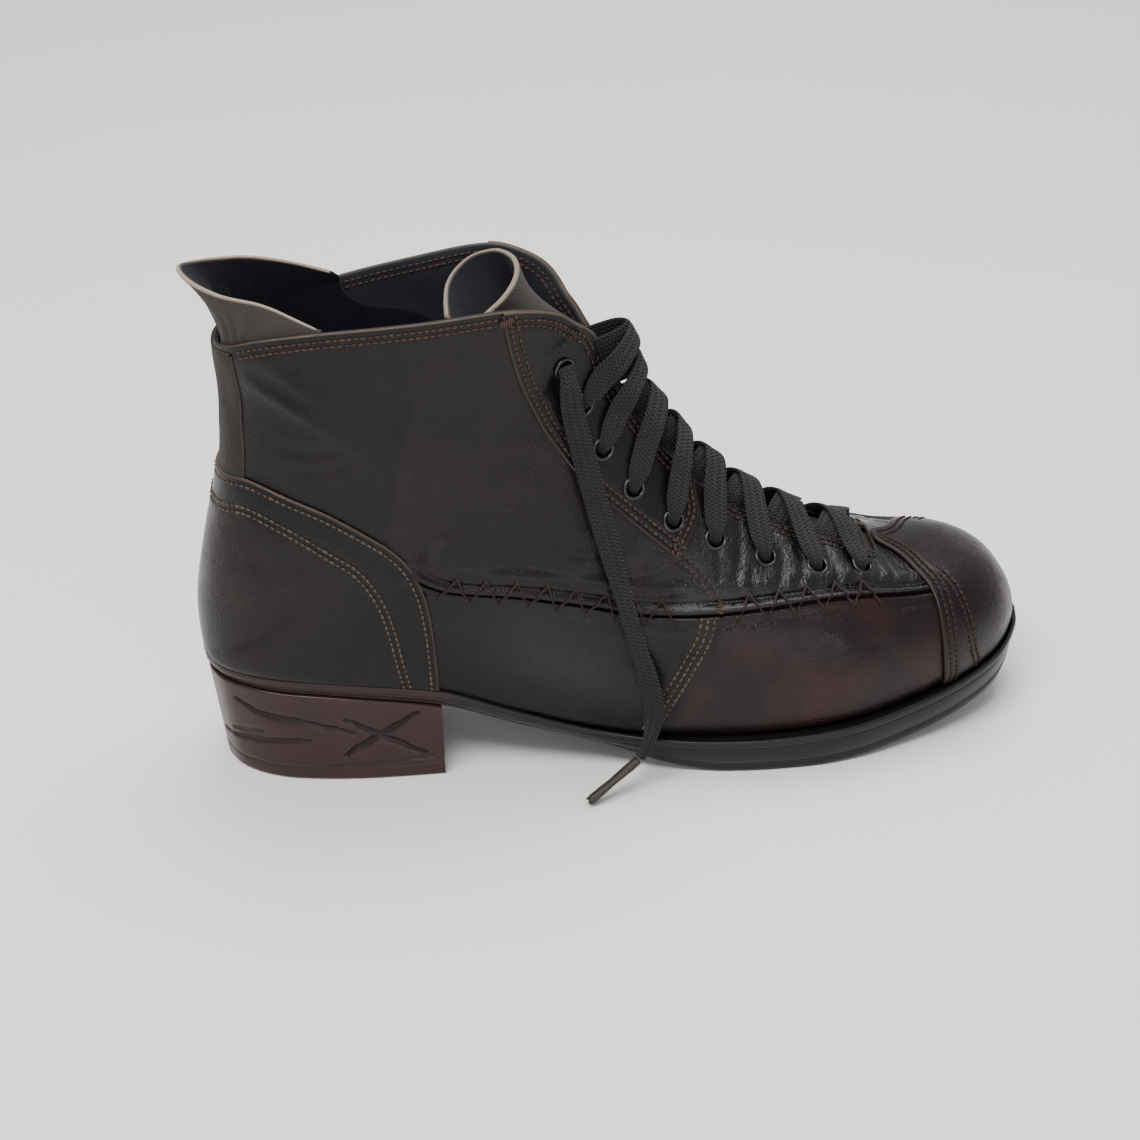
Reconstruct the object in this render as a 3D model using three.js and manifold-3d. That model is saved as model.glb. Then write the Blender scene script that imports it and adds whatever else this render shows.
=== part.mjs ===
// A lace-up ankle boot for the right foot, standing on its sole.
// Millimetres, +Z up, +X from the heel towards the toe, the lateral side at -Y.
// The origin is the centre of the heel's ground face.
import * as THREE from 'three';
import { mergeVertices } from 'three/addons/utils/BufferGeometryUtils.js';
import Module from 'manifold-3d';

const wasm = await Module();
wasm.setup();

// Driving dimensions.
const footLength = 300; // back of the heel seat to the tip of the toe
const ballWidth = 92; // upper across the ball, under the welt's reach
const seatHeight = 46; // floor to the feather line at the heel
const instepHeight = 98; // floor to the ridge over the instep
const shaftHeight = 197; // floor to the top of the shaft's form, before the topline is cut
const wall = 2.2; // leather and lining together
const overlay = 1.3; // a second layer of leather
const seamRidge = 1.5; // the leather that stands up over the side seam
const clearance = 0.3;
const weltReach = 5.8; // welt beyond the upper at the ball
const weltThickness = 3.4;
const weltInside = 8; // welt under the upper's lasted edge
const outsoleStep = 0.9; // outsole edge inside the welt's edge
const insoleThickness = 3;
const tongueThickness = 2.4;
const tabThickness = 1.6;
const heelTaper = 0.954; // length of the heel's ground face as a share of the heel's top
const grooveWidth = 2;
const grooveDepth = 1.1;
const eyeletRadius = 4.2;
const eyeletBore = 2.6;
const eyeletWall = 0.5;
const eyeletLip = 0.8;
const eyeletSeat = 0.45; // under the flange, because the leather is curved
const laceWidth = 8.4;
const laceThickness = 1.3;
const agletRadius = 1.9;

// One row for each section. The sections fan from the tip of the toe round the heel to the topline.
// base, ridge: shares of footLength, to the section's lower and upper end.
// seat: share of seatHeight. rise: share of the shaft above the seat.
// instep: share of instepHeight. climb: share of the shaft above the instep.
// lateral, medial, swing: shares of ballWidth, the widest half widths and the middle's shift.
// tuck: share of the half width at the feather line. belly: share of the height where it is widest.
// crown, curl: roundness above and below the widest place.
// reach: share of weltReach. tread: share of seatHeight, the outsole's underside.
// seam, facing, throat: shares of the way up the section's side.
const columns = ['base', 'seat', 'rise', 'ridge', 'instep', 'climb', 'lateral', 'medial', 'swing',
  'tuck', 'belly', 'crown', 'curl', 'reach', 'tread', 'seam', 'facing', 'throat'];
const rows = [
  [0.993, 0.690, 0.000, 0.994, 0.367, 0.000, 0.033, 0.033, 0.054, 0.80, 0.50, 2.00, 2.0, 0.75, 0.390, 0.74, 0.78, 0.92],
  [0.984, 0.663, 0.000, 0.986, 0.460, 0.000, 0.163, 0.163, 0.049, 0.85, 0.42, 2.10, 2.0, 0.75, 0.360, 0.74, 0.78, 0.92],
  [0.957, 0.587, 0.000, 0.960, 0.561, 0.000, 0.288, 0.283, 0.038, 0.88, 0.38, 2.20, 2.0, 0.80, 0.257, 0.74, 0.78, 0.92],
  [0.905, 0.500, 0.000, 0.912, 0.628, 0.000, 0.386, 0.380, 0.027, 0.90, 0.34, 2.30, 2.0, 0.85, 0.163, 0.74, 0.78, 0.92],
  [0.833, 0.417, 0.000, 0.833, 0.673, 0.000, 0.462, 0.446, 0.016, 0.92, 0.30, 2.20, 2.0, 0.90, 0.078, 0.73, 0.77, 0.92],
  [0.750, 0.359, 0.000, 0.760, 0.776, 0.000, 0.511, 0.484, 0.000, 0.93, 0.26, 2.00, 2.0, 1.00, 0.015, 0.70, 0.75, 0.912],
  [0.650, 0.326, 0.000, 0.683, 0.878, 0.000, 0.516, 0.467, 0.000, 0.94, 0.22, 1.85, 2.0, 1.00, -0.020, 0.655, 0.71, 0.90],
  [0.550, 0.326, 0.000, 0.627, 0.995, 0.000, 0.484, 0.413, 0.000, 0.93, 0.20, 1.75, 2.0, 0.85, 0.048, 0.61, 0.67, 0.882],
  [0.450, 0.391, 0.000, 0.580, 1.000, 0.130, 0.429, 0.370, 0.000, 0.93, 0.20, 1.70, 2.0, 0.45, 0.250, 0.568, 0.69, 0.878],
  [0.350, 0.587, 0.000, 0.543, 1.000, 0.272, 0.391, 0.348, 0.000, 0.93, 0.22, 1.70, 2.0, 0.30, 0.435, 0.53, 0.697, 0.878],
  [0.260, 0.815, 0.000, 0.517, 1.000, 0.394, 0.370, 0.348, 0.000, 0.95, 0.25, 1.70, 2.0, 0.25, 0.652, 0.485, 0.71, 0.878],
  [0.150, 0.935, 0.000, 0.500, 1.000, 0.495, 0.359, 0.348, 0.000, 0.95, 0.28, 1.75, 2.0, 0.20, 0.783, 0.45, 0.723, 0.878],
  [0.060, 0.989, 0.000, 0.490, 1.000, 0.576, 0.348, 0.337, 0.000, 0.84, 0.33, 1.80, 2.0, 0.20, 0.837, 0.44, 0.725, 0.878],
  [0.007, 1.000, 0.000, 0.483, 1.000, 0.636, 0.342, 0.337, 0.000, 0.57, 0.36, 1.85, 2.0, 0.20, 0.859, 0.44, 0.723, 0.882],
  [-0.015, 1.000, 0.003, 0.480, 1.000, 0.687, 0.337, 0.337, 0.000, 0.26, 0.38, 1.90, 2.1, 0.20, 0.865, 0.44, 0.715, 0.885],
  [-0.020, 1.000, 0.012, 0.477, 1.000, 0.737, 0.337, 0.337, 0.000, 0.00, 0.40, 2.00, 2.2, 0.20, 0.865, 0.44, 0.69, 0.885],
  [-0.021, 1.000, 0.132, 0.475, 1.000, 0.757, 0.334, 0.334, 0.000, 0.00, 0.41, 2.05, 2.2, 0.20, 0.865, 0.44, 0.68, 0.885],
  [-0.003, 1.000, 0.305, 0.473, 1.000, 0.778, 0.326, 0.326, 0.000, 0.00, 0.43, 2.10, 2.3, 0.20, 0.865, 0.43, 0.665, 0.885],
  [0.020, 1.000, 0.490, 0.473, 1.000, 0.818, 0.321, 0.321, 0.000, 0.00, 0.45, 2.30, 2.4, 0.20, 0.865, 0.42, 0.635, 0.885],
  [0.027, 1.000, 0.656, 0.473, 1.000, 0.869, 0.326, 0.326, 0.000, 0.00, 0.46, 2.40, 2.4, 0.20, 0.865, 0.41, 0.60, 0.885],
  [0.027, 1.000, 0.808, 0.473, 1.000, 0.929, 0.332, 0.332, 0.000, 0.00, 0.47, 2.50, 2.5, 0.20, 0.865, 0.40, 0.575, 0.885],
  [0.030, 1.000, 0.954, 0.473, 1.000, 1.000, 0.337, 0.337, 0.000, 0.00, 0.47, 2.50, 2.5, 0.20, 0.865, 0.40, 0.57, 0.885],
];
const lastStation = rows.length - 1;
const throatStart = 4.25; // station where the throat opens
const throatEnd = 13; // station of the throat's upper corners
const heelBreast = 10; // station of the heel's front face
const heelBack = 15; // station where the feather line closes at the back
// Where the sections start to squeeze together under the topline: [share of the way up, station].
const squeezeStart = [[0, 17], [0.45, 17], [0.885, 12]];
const facingStart = 7.65; // station of the eyestay's front edge
const waistline = 0.4; // share of the way up a side where the section is widest
const lateral = -1;
const medial = 1;

// The topline as [share of the way up the side, station], from the back to the throat.
const topline = [[0, 20.36], [0.3, 20.33], [0.42, 20.15], [0.57, 19.88], [0.66, 19.4], [0.72, 18.8],
  [0.8, 17.4], [0.86, 14.9], [0.885, 12.9]];

// The eyelets of one side as [station, share of the way up the side], from the top down.
const eyelets = [[14.83, 0.767], [11.73, 0.787], [10.25, 0.763], [9.1, 0.75], [8.1, 0.75],
  [7.2, 0.767], [6.23, 0.777], [5.4, 0.79], [4.65, 0.827]];

function mix(a, b, f) {
  return a + (b - a) * f;
}

// Straight lines between [where, value] pairs.
function lookUp(pairs, where) {
  if (where <= pairs[0][0]) {
    return pairs[0][1];
  }
  for (let k = 1; k < pairs.length; k += 1) {
    if (where <= pairs[k][0]) {
      const f = (where - pairs[k - 1][0]) / (pairs[k][0] - pairs[k - 1][0]);
      return mix(pairs[k - 1][1], pairs[k][1], f);
    }
  }
  return pairs[pairs.length - 1][1];
}

// The section at any station, on a smooth curve through the rows.
function sectionAt(station) {
  const s = THREE.MathUtils.clamp(station, 0, lastStation);
  const k = Math.min(Math.floor(s), lastStation - 1);
  const f = s - k;
  const section = {};
  columns.forEach((name, c) => {
    const p1 = rows[k][c];
    const p2 = rows[k + 1][c];
    const p0 = k > 0 ? rows[k - 1][c] : 2 * p1 - p2;
    const p3 = k < lastStation - 1 ? rows[k + 2][c] : 2 * p2 - p1;
    const m1 = (p2 - p0) / 2;
    const m2 = (p3 - p1) / 2;
    section[name] = (2 * f ** 3 - 3 * f ** 2 + 1) * p1 + (f ** 3 - 2 * f ** 2 + f) * m1
      + (3 * f ** 2 - 2 * f ** 3) * p2 + (f ** 3 - f ** 2) * m2;
  });
  return section;
}

function featherHeight(section) {
  return section.seat * seatHeight + Math.max(section.rise, 0) * (shaftHeight - seatHeight);
}

function ridgeHeight(section) {
  return section.instep * instepHeight + section.climb * (shaftHeight - instepHeight);
}

// A point of the upper's outer form. up runs from 0 at the feather line to 1 at the ridge.
function formPoint(station, up, side) {
  const s = sectionAt(station);
  const half = (side === lateral ? s.lateral : s.medial) * ballWidth;
  const tuck = Math.max(s.tuck, 0);
  let height;
  let width;
  if (up < waistline) {
    const turn = up / waistline * Math.PI / 2;
    height = s.belly * (1 - Math.cos(turn) ** (2 / s.curl));
    width = half * (tuck + (1 - tuck) * Math.sin(turn) ** (2 / s.curl));
  } else {
    const turn = (up - waistline) / (1 - waistline) * Math.PI / 2;
    height = s.belly + (1 - s.belly) * Math.sin(turn) ** (2 / s.crown);
    width = half * Math.max(Math.cos(turn), 0) ** (2 / s.crown);
  }
  return new THREE.Vector3(
    mix(s.base, s.ridge, height) * footLength,
    s.swing * ballWidth + side * width,
    mix(featherHeight(s), ridgeHeight(s), height),
  );
}

const lowEdge = 0.12; // below this the outward direction turns level
const highEdge = 0.985; // above this the two sides share one direction

function sideNormal(station, up, side) {
  const step = 0.01;
  const u = THREE.MathUtils.clamp(up, lowEdge, highEdge);
  const s = THREE.MathUtils.clamp(station, step, lastStation - step);
  const along = formPoint(s + step, u, side).sub(formPoint(s - step, u, side));
  const across = formPoint(s, u + step, side).sub(formPoint(s, u - step, side));
  return along.cross(across).multiplyScalar(side).normalize();
}

// The outward direction. It is level at the feather line and doesn't lean sideways on the ridge or
// down the middle of the back.
function formNormal(station, up, side) {
  const normal = sideNormal(station, up, side);
  if (up < lowEdge && station < heelBack) {
    normal.z *= up / lowEdge;
  }
  if (up > highEdge || (up < lowEdge / 4 && station >= heelBack)) {
    normal.add(sideNormal(station, up, -side)).setY(0);
  }
  return normal.normalize();
}

function onForm(station, up, side, away) {
  return formPoint(station, up, side).addScaledVector(formNormal(station, up, side), away);
}

// A closed solid from facing pairs of sheets. A corner has a key and a point on each sheet; seen
// from outside, a panel's corners run anticlockwise. Open edges get a wall between the sheets.
function sheetSolid(panels) {
  const vertices = [];
  const numbers = new Map();
  const triangles = [];
  const edges = new Map();
  function vertex(point) {
    const key = point.toArray().map((v) => Math.round(v * 500)).join();
    if (!numbers.has(key)) {
      numbers.set(key, vertices.length / 3);
      vertices.push(point.x, point.y, point.z);
    }
    return numbers.get(key);
  }
  function triangle(a, b, c) {
    if (a !== b && b !== c && c !== a) {
      triangles.push(a, b, c);
    }
  }
  panels.forEach((panel) => {
    const outer = panel.map((corner) => vertex(corner.outer));
    const inner = panel.map((corner) => vertex(corner.inner));
    triangle(outer[0], outer[1], outer[2]);
    triangle(outer[0], outer[2], outer[3]);
    triangle(inner[2], inner[1], inner[0]);
    triangle(inner[3], inner[2], inner[0]);
    outer.forEach((a, k) => {
      const b = outer[(k + 1) % 4];
      if (a !== b) {
        edges.set(`${a},${b}`, [a, b, inner[k], inner[(k + 1) % 4]]);
      }
    });
  });
  edges.forEach(([a, b, aIn, bIn]) => {
    if (!edges.has(`${b},${a}`)) {
      triangle(b, a, aIn);
      triangle(b, aIn, bIn);
    }
  });
  return solidOf(vertices, triangles);
}

function solidOf(vertices, triangles) {
  return new wasm.Manifold(new wasm.Mesh({
    numProp: 3,
    vertProperties: new Float32Array(vertices),
    triVerts: new Uint32Array(triangles),
  }));
}

function geometryOf(solid) {
  const mesh = solid.getMesh();
  const geometry = new THREE.BufferGeometry();
  geometry.setAttribute('position', new THREE.BufferAttribute(new Float32Array(mesh.vertProperties), 3));
  geometry.setIndex(new THREE.BufferAttribute(new Uint32Array(mesh.triVerts), 1));
  geometry.computeVertexNormals();
  return geometry;
}

function solidFrom(geometry) {
  const bare = geometry.clone();
  bare.deleteAttribute('normal');
  bare.deleteAttribute('uv');
  const merged = mergeVertices(bare, 1e-4);
  return solidOf(merged.attributes.position.array, merged.index.array);
}

// A closed solid between two grids of points, row by row.
function gridSolid(outer, inner, flipped = false) {
  const panels = [];
  for (let r = 0; r < outer.length - 1; r += 1) {
    for (let c = 0; c < outer[r].length - 1; c += 1) {
      const corners = [[r, c], [r + 1, c], [r + 1, c + 1], [r, c + 1]];
      const panel = corners.map(([i, j]) => ({ outer: outer[i][j], inner: inner[i][j] }));
      panels.push(flipped ? panel.reverse() : panel);
    }
  }
  return sheetSolid(panels);
}

// A side view outline in [share of footLength, height in mm] pushed through the whole boot.
function sidePrism(outline) {
  const shape = new THREE.Shape(outline.map(([x, z]) => new THREE.Vector2(x * footLength, z)));
  const depth = ballWidth * 2;
  const geometry = new THREE.ExtrudeGeometry(shape, { depth, bevelEnabled: false, curveSegments: 6 });
  geometry.rotateX(Math.PI / 2);
  geometry.translate(0, depth / 2, 0);
  return solidFrom(geometry);
}

// The upper's lattice.
const stations = [0, 0.5, 1, 1.5, 2, 3, 4, throatStart, 5, 5.5, 6, 6.5, 7, 7.5, facingStart, 8,
  9, 10, 11, 12, 12.5, 13, 13.5, 14, 14.5, 15, 16, 17, 18, 19, 21];
const sideShares = [0, 0.14, 0.3, 0.5, 0.74, 0.97]; // feather line to the side seam
const quarterShares = [0.03, 0.42, 0.97]; // side seam to the eyestay's edge
const facingShares = [0.03, 0.5, 1]; // eyestay's edge to the throat
const vampShares = [0.5, 1]; // throat's edge to the ridge, in front of the throat

// One side's corners at a station: the share of the way up and the leather added there.
function sideCorners(station) {
  const s = sectionAt(station);
  const seamed = station >= throatStart && station <= heelBreast ? seamRidge : 0;
  const faced = station >= facingStart ? overlay : 0;
  const ridges = [seamed, 0, 0];
  const corners = sideShares.map((share) => ({ up: share * s.seam, extra: 0 }));
  quarterShares.forEach((share, k) => {
    corners.push({ up: mix(s.seam, s.facing, share), extra: ridges[k] });
  });
  facingShares.forEach((share) => {
    corners.push({ up: mix(s.facing, s.throat, share), extra: faced });
  });
  if (station <= throatStart) {
    vampShares.forEach((share) => corners.push({ up: mix(s.throat, 1, share), extra: 0 }));
  }
  return corners;
}

// The stations squeeze together so that the last one lies on the topline.
function trueStation(station, up) {
  const start = lookUp(squeezeStart, up);
  if (station <= start) {
    return station;
  }
  const share = (station - start) / (lastStation - start);
  return mix(start, lookUp(topline, up), share);
}

function latticePoint(station, corner, side, away) {
  return onForm(trueStation(station, corner.up), corner.up, side, away);
}

// Panels over both sides. outerAway and innerAway say how far the two sheets lie from the form.
function upperPanels(outerAway, innerAway) {
  const panels = [];
  [lateral, medial].forEach((side) => {
    const grid = stations.map((station) => sideCorners(station).map((corner) => ({
      outer: latticePoint(station, corner, side, outerAway(corner)),
      inner: latticePoint(station, corner, side, innerAway(corner)),
    })));
    for (let r = 0; r < grid.length - 1; r += 1) {
      const count = Math.min(grid[r].length, grid[r + 1].length);
      for (let c = 0; c < count - 1; c += 1) {
        const panel = [grid[r][c], grid[r + 1][c], grid[r + 1][c + 1], grid[r][c + 1]];
        panels.push(side === lateral ? panel.reverse() : panel);
      }
    }
  });
  // The blunt tip of the toe, between the two sides' first corners.
  const tip = [lateral, medial].map((side) => sideCorners(0).map((corner) => ({
    outer: latticePoint(0, corner, side, outerAway(corner)),
    inner: latticePoint(0, corner, side, innerAway(corner)),
  })));
  for (let c = 0; c < tip[0].length - 1; c += 1) {
    panels.push([tip[0][c], tip[1][c], tip[1][c + 1], tip[0][c + 1]]);
  }
  return panels;
}

const skirt = 10; // how far the closed forms go on below the feather line

// The upper's form as one closed body, away from the outer surface by a distance, without the
// seam's ridge or the eyestay. It closes straight across the skirt, throat and topline.
function closedForm(away) {
  const panels = [];
  const [left, right] = [lateral, medial].map((side) => stations.map((station) => {
    const points = sideCorners(station).map((corner) => latticePoint(station, corner, side, away));
    return [points[0].clone().setZ(points[0].z - skirt), ...points];
  }));
  for (let c = 0; c < left[0].length - 1; c += 1) {
    panels.push([left[0][c], right[0][c], right[0][c + 1], left[0][c + 1]]);
  }
  for (let r = 0; r < stations.length - 1; r += 1) {
    const last = Math.min(left[r].length, left[r + 1].length) - 1;
    const first = stations[r] < heelBack ? 0 : 1;
    for (let c = first; c < last; c += 1) {
      panels.push([left[r][c], left[r][c + 1], left[r + 1][c + 1], left[r + 1][c]]);
      panels.push([right[r][c], right[r + 1][c], right[r + 1][c + 1], right[r][c + 1]]);
    }
    panels.push([left[r][first], left[r + 1][first], right[r + 1][first], right[r][first]]);
    panels.push([left[r][last], right[r][last], right[r + 1][last], left[r + 1][last]]);
    for (let c = last; c < left[r].length - 1; c += 1) {
      panels.push([left[r][c], left[r][c + 1], right[r][c + 1], right[r][c]]);
    }
  }
  const leftTop = left[left.length - 1];
  const rightTop = right[right.length - 1];
  for (let c = 1; c < leftTop.length - 1; c += 1) {
    panels.push([leftTop[c], leftTop[c + 1], rightTop[c + 1], rightTop[c]]);
  }
  const vertices = [];
  const triangles = [];
  panels.forEach((panel) => {
    const first = vertices.length / 3;
    panel.forEach((point) => vertices.push(point.x, point.y, point.z));
    triangles.push(first, first + 1, first + 2, first, first + 2, first + 3);
  });
  const geometry = new THREE.BufferGeometry();
  geometry.setAttribute('position', new THREE.BufferAttribute(new Float32Array(vertices), 3));
  geometry.setIndex(triangles);
  return mergedSolid(geometry);
}

// Merges a loose mesh's corners and leaves out triangles that close to nothing.
function mergedSolid(geometry) {
  const merged = mergeVertices(geometry, 2e-3);
  const index = merged.index.array;
  const kept = [];
  for (let k = 0; k < index.length; k += 3) {
    const [a, b, c] = [index[k], index[k + 1], index[k + 2]];
    if (a !== b && b !== c && c !== a) {
      kept.push(a, b, c);
    }
  }
  return solidOf(merged.attributes.position.array, kept);
}

// A layer of leather over the upper: what a side view outline leaves of the space between two
// larger forms.
function overlayPiece(outline) {
  const layer = closedForm(clearance + overlay).subtract(closedForm(clearance));
  const wide = () => weltReach;
  const below = soleLayer(0, heelBack, wide, (x) => seatAt(x) + clearance / 2, wide, () => 0);
  return layer.intersect(sidePrism(outline)).subtract(below);
}

const group = new THREE.Group();

function addPiece(name, geometry, look) {
  const mesh = new THREE.Mesh(geometry, new THREE.MeshStandardMaterial(look));
  mesh.name = name;
  group.add(mesh);
  return mesh;
}

const leather = { color: 0x2a1614, roughness: 0.42, metalness: 0 };
const capLeather = { color: 0x33201a, roughness: 0.38, metalness: 0 };
const lining = { color: 0x17171a, roughness: 0.8, metalness: 0 };
const suede = { color: 0x4a403c, roughness: 0.85, metalness: 0 };
const soleRubber = { color: 0x0f0d0e, roughness: 0.4, metalness: 0 };
const heelStack = { color: 0x35181a, roughness: 0.36, metalness: 0 };
const darkMetal = { color: 0x232326, roughness: 0.4, metalness: 0.9 };
const laceCloth = { color: 0x16171a, roughness: 0.9, metalness: 0 };

// Sole: footprints follow the upper's feather line, so every layer has the same outline.
function footprint(station, side, reach) {
  const step = 0.02;
  const s = THREE.MathUtils.clamp(station, step, heelBack - step);
  const here = formPoint(station, 0, side);
  const run = formPoint(s + step, 0, side).sub(formPoint(s - step, 0, side));
  const outward = new THREE.Vector2(-run.y, run.x).multiplyScalar(-side).normalize();
  if (station >= heelBack) {
    outward.set(-1, 0);
  }
  return new THREE.Vector2(here.x + outward.x * reach, here.y + outward.y * reach);
}

// The station whose feather line has a place along the foot, found by halving.
function stationAt(x) {
  let ahead = 0;
  let behind = heelBack;
  for (let k = 0; k < 24; k += 1) {
    const middle = (ahead + behind) / 2;
    if (sectionAt(middle).base * footLength > x) {
      ahead = middle;
    } else {
      behind = middle;
    }
  }
  return ahead;
}

function seatAt(x) {
  return sectionAt(stationAt(x)).seat * seatHeight;
}

function treadAt(x) {
  return Math.max(sectionAt(stationAt(x)).tread * seatHeight, 0);
}

function reachAt(station) {
  return sectionAt(station).reach * weltReach;
}

// Points side to side at each station, with a reach beyond the feather line and a height by place.
function soleGrid(fromStation, toStation, reach, height) {
  const across = 2;
  const used = stations.filter((s) => s >= fromStation && s <= toStation);
  return used.map((s) => {
    const left = footprint(s, lateral, reach(s));
    const right = footprint(s, medial, reach(s));
    const row = [];
    for (let c = 0; c <= across; c += 1) {
      const point = left.clone().lerp(right, c / across);
      row.push(new THREE.Vector3(point.x, point.y, height(point.x)));
    }
    return row;
  });
}

// A sole layer between two heights, each with its own edge.
function soleLayer(fromStation, toStation, topReach, top, bottomReach, bottom) {
  return gridSolid(
    soleGrid(fromStation, toStation, topReach, top),
    soleGrid(fromStation, toStation, bottomReach, bottom),
    true,
  );
}

// Welt: a strip all round, under the upper's edge.
function weltSolid() {
  const top = (x) => seatAt(x) - clearance;
  const bottom = (x) => top(x) - weltThickness;
  const outer = soleLayer(0, heelBack, reachAt, top, reachAt, bottom);
  const inside = () => -weltInside;
  const past = 5;
  const core = soleLayer(0, heelBack - 1, inside, (x) => top(x) + past, inside, (x) => bottom(x) - past);
  return outer.subtract(core);
}
addPiece('welt', geometryOf(weltSolid()), soleRubber);

// Outsole: a step inside the welt, drawn in a little at the tread.
const treadDraw = 1.2;
const outsoleReach = (s) => reachAt(s) - outsoleStep;
const outsoleTop = (x) => seatAt(x) - weltThickness - 2 * clearance;
const outsole = soleLayer(0, heelBack, outsoleReach, outsoleTop, (s) => outsoleReach(s) - treadDraw, treadAt);
addPiece('outsole', geometryOf(outsole), soleRubber);

// Heel: a block whose ground face is shorter than its top, with carved grooves on its sides.
// Grooves as [x0, z0, x1, z1]: x as shares of footLength from the back, z as shares of the breast's height.
const breastX = sectionAt(heelBreast).base * footLength;
const breastHeight = treadAt(breastX) - clearance;
const grooves = [
  [0.012, 1.075, 0.052, 0.93], [0.052, 0.93, 0.125, 0.80], [0.125, 0.80, 0.152, 0.70],
  [0.137, 0.36, 0.229, 0.94], [0.142, 0.90, 0.240, 0.33], [0.000, 0.45, 0.023, 0.52],
  [0.023, 0.52, 0.100, 0.60], [0.115, 0.21, 0.235, 0.30],
];

function heelBlock(inset) {
  const top = (x) => treadAt(x) - clearance;
  const upperGrid = soleGrid(heelBreast, heelBack, (s) => outsoleReach(s) - inset, top);
  const lowerGrid = soleGrid(heelBreast, heelBack, (s) => outsoleReach(s) - inset, () => 0);
  lowerGrid.forEach((row) => row.forEach((point) => {
    point.x = breastX - (breastX - point.x) * heelTaper;
  }));
  return gridSolid(upperGrid, lowerGrid, true);
}

function grooveCutter() {
  const bars = grooves.map(([x0, z0, x1, z1]) => {
    const from = new THREE.Vector2(x0, z0 * breastHeight / footLength);
    const to = new THREE.Vector2(x1, z1 * breastHeight / footLength);
    const half = to.clone().sub(from).normalize().multiplyScalar(grooveWidth / 2 / footLength);
    const aside = new THREE.Vector2(-half.y, half.x);
    const ends = [
      from.clone().sub(half), from.clone().add(aside), to.clone().add(aside),
      to.clone().add(half), to.clone().sub(aside), from.clone().sub(aside),
    ];
    return sidePrism(ends.map((p) => [p.x, p.y * footLength]).reverse());
  });
  return bars.reduce((all, bar) => all.add(bar));
}
const heelSkin = heelBlock(-1).subtract(heelBlock(grooveDepth));
const heel = heelBlock(0).subtract(heelSkin.intersect(grooveCutter()));
addPiece('heel', geometryOf(heel), heelStack);

// Insole: inside the upper's lasted edge, on the welt.
const insoleReach = () => -(wall + clearance);
const insoleTop = (x) => seatAt(x) + insoleThickness;
const insole = soleLayer(0, heelBack - 0.5, insoleReach, insoleTop, insoleReach, seatAt);
addPiece('insole', geometryOf(insole), lining);

// Eyelets: where each sits, and the way its bore points.
function eyeletSeats() {
  const seats = [];
  [lateral, medial].forEach((side) => {
    eyelets.forEach(([station, up], k) => {
      const added = station >= facingStart ? overlay : 0;
      seats.push({
        name: `eyelet_${side === lateral ? 'lateral' : 'medial'}_${k + 1}`,
        place: onForm(station, up, side, added),
        normal: formNormal(station, up, side),
        depth: wall + added,
      });
    });
  });
  return seats;
}

function turnedTo(geometry, seat) {
  const turn = new THREE.Quaternion().setFromUnitVectors(new THREE.Vector3(0, 1, 0), seat.normal);
  return geometry.applyQuaternion(turn).translate(seat.place.x, seat.place.y, seat.place.z);
}

const boreSides = 8;

function eyeletRing(depth) {
  const barrel = eyeletBore + eyeletWall;
  const flangeTop = eyeletSeat + eyeletLip;
  const profile = [
    [eyeletBore, -depth], [barrel, -depth], [barrel, eyeletSeat], [eyeletRadius, eyeletSeat],
    [eyeletBore, flangeTop], [eyeletBore, -depth],
  ];
  return new THREE.LatheGeometry(profile.map(([r, h]) => new THREE.Vector2(r, h)), boreSides);
}

function eyeletHole(seat) {
  const radius = (eyeletBore + eyeletWall + clearance) / Math.cos(Math.PI / boreSides);
  return solidFrom(turnedTo(new THREE.CylinderGeometry(radius, radius, 3 * seat.depth, boreSides), seat));
}

eyeletSeats().forEach((seat) => {
  addPiece(seat.name, turnedTo(eyeletRing(seat.depth), seat), darkMetal);
});

// Upper: one wall of leather, thicker over the eyestay and along the side seam.
const shell = sheetSolid(upperPanels((corner) => corner.extra, () => -wall));
const holes = eyeletSeats().map(eyeletHole).reduce((all, hole) => all.add(hole));
addPiece('upper', geometryOf(shell.subtract(holes)), leather);

// Overlays in side view, as [share of footLength, height in mm].
const farOut = 1.1;
const capOutline = [
  [0.820, 0.75 * instepHeight], [0.828, 0.68 * instepHeight], [0.848, 0.652 * instepHeight],
  [0.877, 0.598 * instepHeight], [0.895, 0.495 * instepHeight], [0.907, 0.366 * instepHeight],
  [0.912, 0.2 * instepHeight], [farOut, 0.2 * instepHeight], [farOut, 0.75 * instepHeight],
];
addPiece('toe_cap', geometryOf(overlayPiece(capOutline.reverse())), capLeather);

const counterOutline = [
  [-0.1, 0.677 * shaftHeight], [0.02, 0.673 * shaftHeight], [0.09, 0.623 * shaftHeight],
  [0.155, 0.56 * shaftHeight], [0.2, 0.511 * shaftHeight], [0.232, 0.446 * shaftHeight],
  [0.25, 0.36 * shaftHeight], [0.257, 0.6 * seatHeight], [-0.1, 0.6 * seatHeight],
];
addPiece('counter', geometryOf(overlayPiece(counterOutline.reverse())), leather);

const backstayOutline = [
  [-0.1, 0.684 * shaftHeight], [0.04, 0.68 * shaftHeight], [0.05, 0.887 * shaftHeight],
  [-0.1, 0.887 * shaftHeight],
];
addPiece('backstay', geometryOf(overlayPiece(backstayOutline)), suede);

// A bending sheet between rows of middle points, thickened both ways.
function bentSheet(grid, thickness) {
  const sheets = [1, -1].map((face) => grid.map((row, r) => row.map((point, c) => {
    const along = grid[Math.min(r + 1, grid.length - 1)][c].clone().sub(grid[Math.max(r - 1, 0)][c]);
    const across = row[Math.min(c + 1, row.length - 1)].clone().sub(row[Math.max(c - 1, 0)]);
    const normal = along.cross(across).normalize();
    return point.clone().addScaledVector(normal, face * thickness / 2);
  })));
  return gridSolid(sheets[0], sheets[1]);
}

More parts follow.
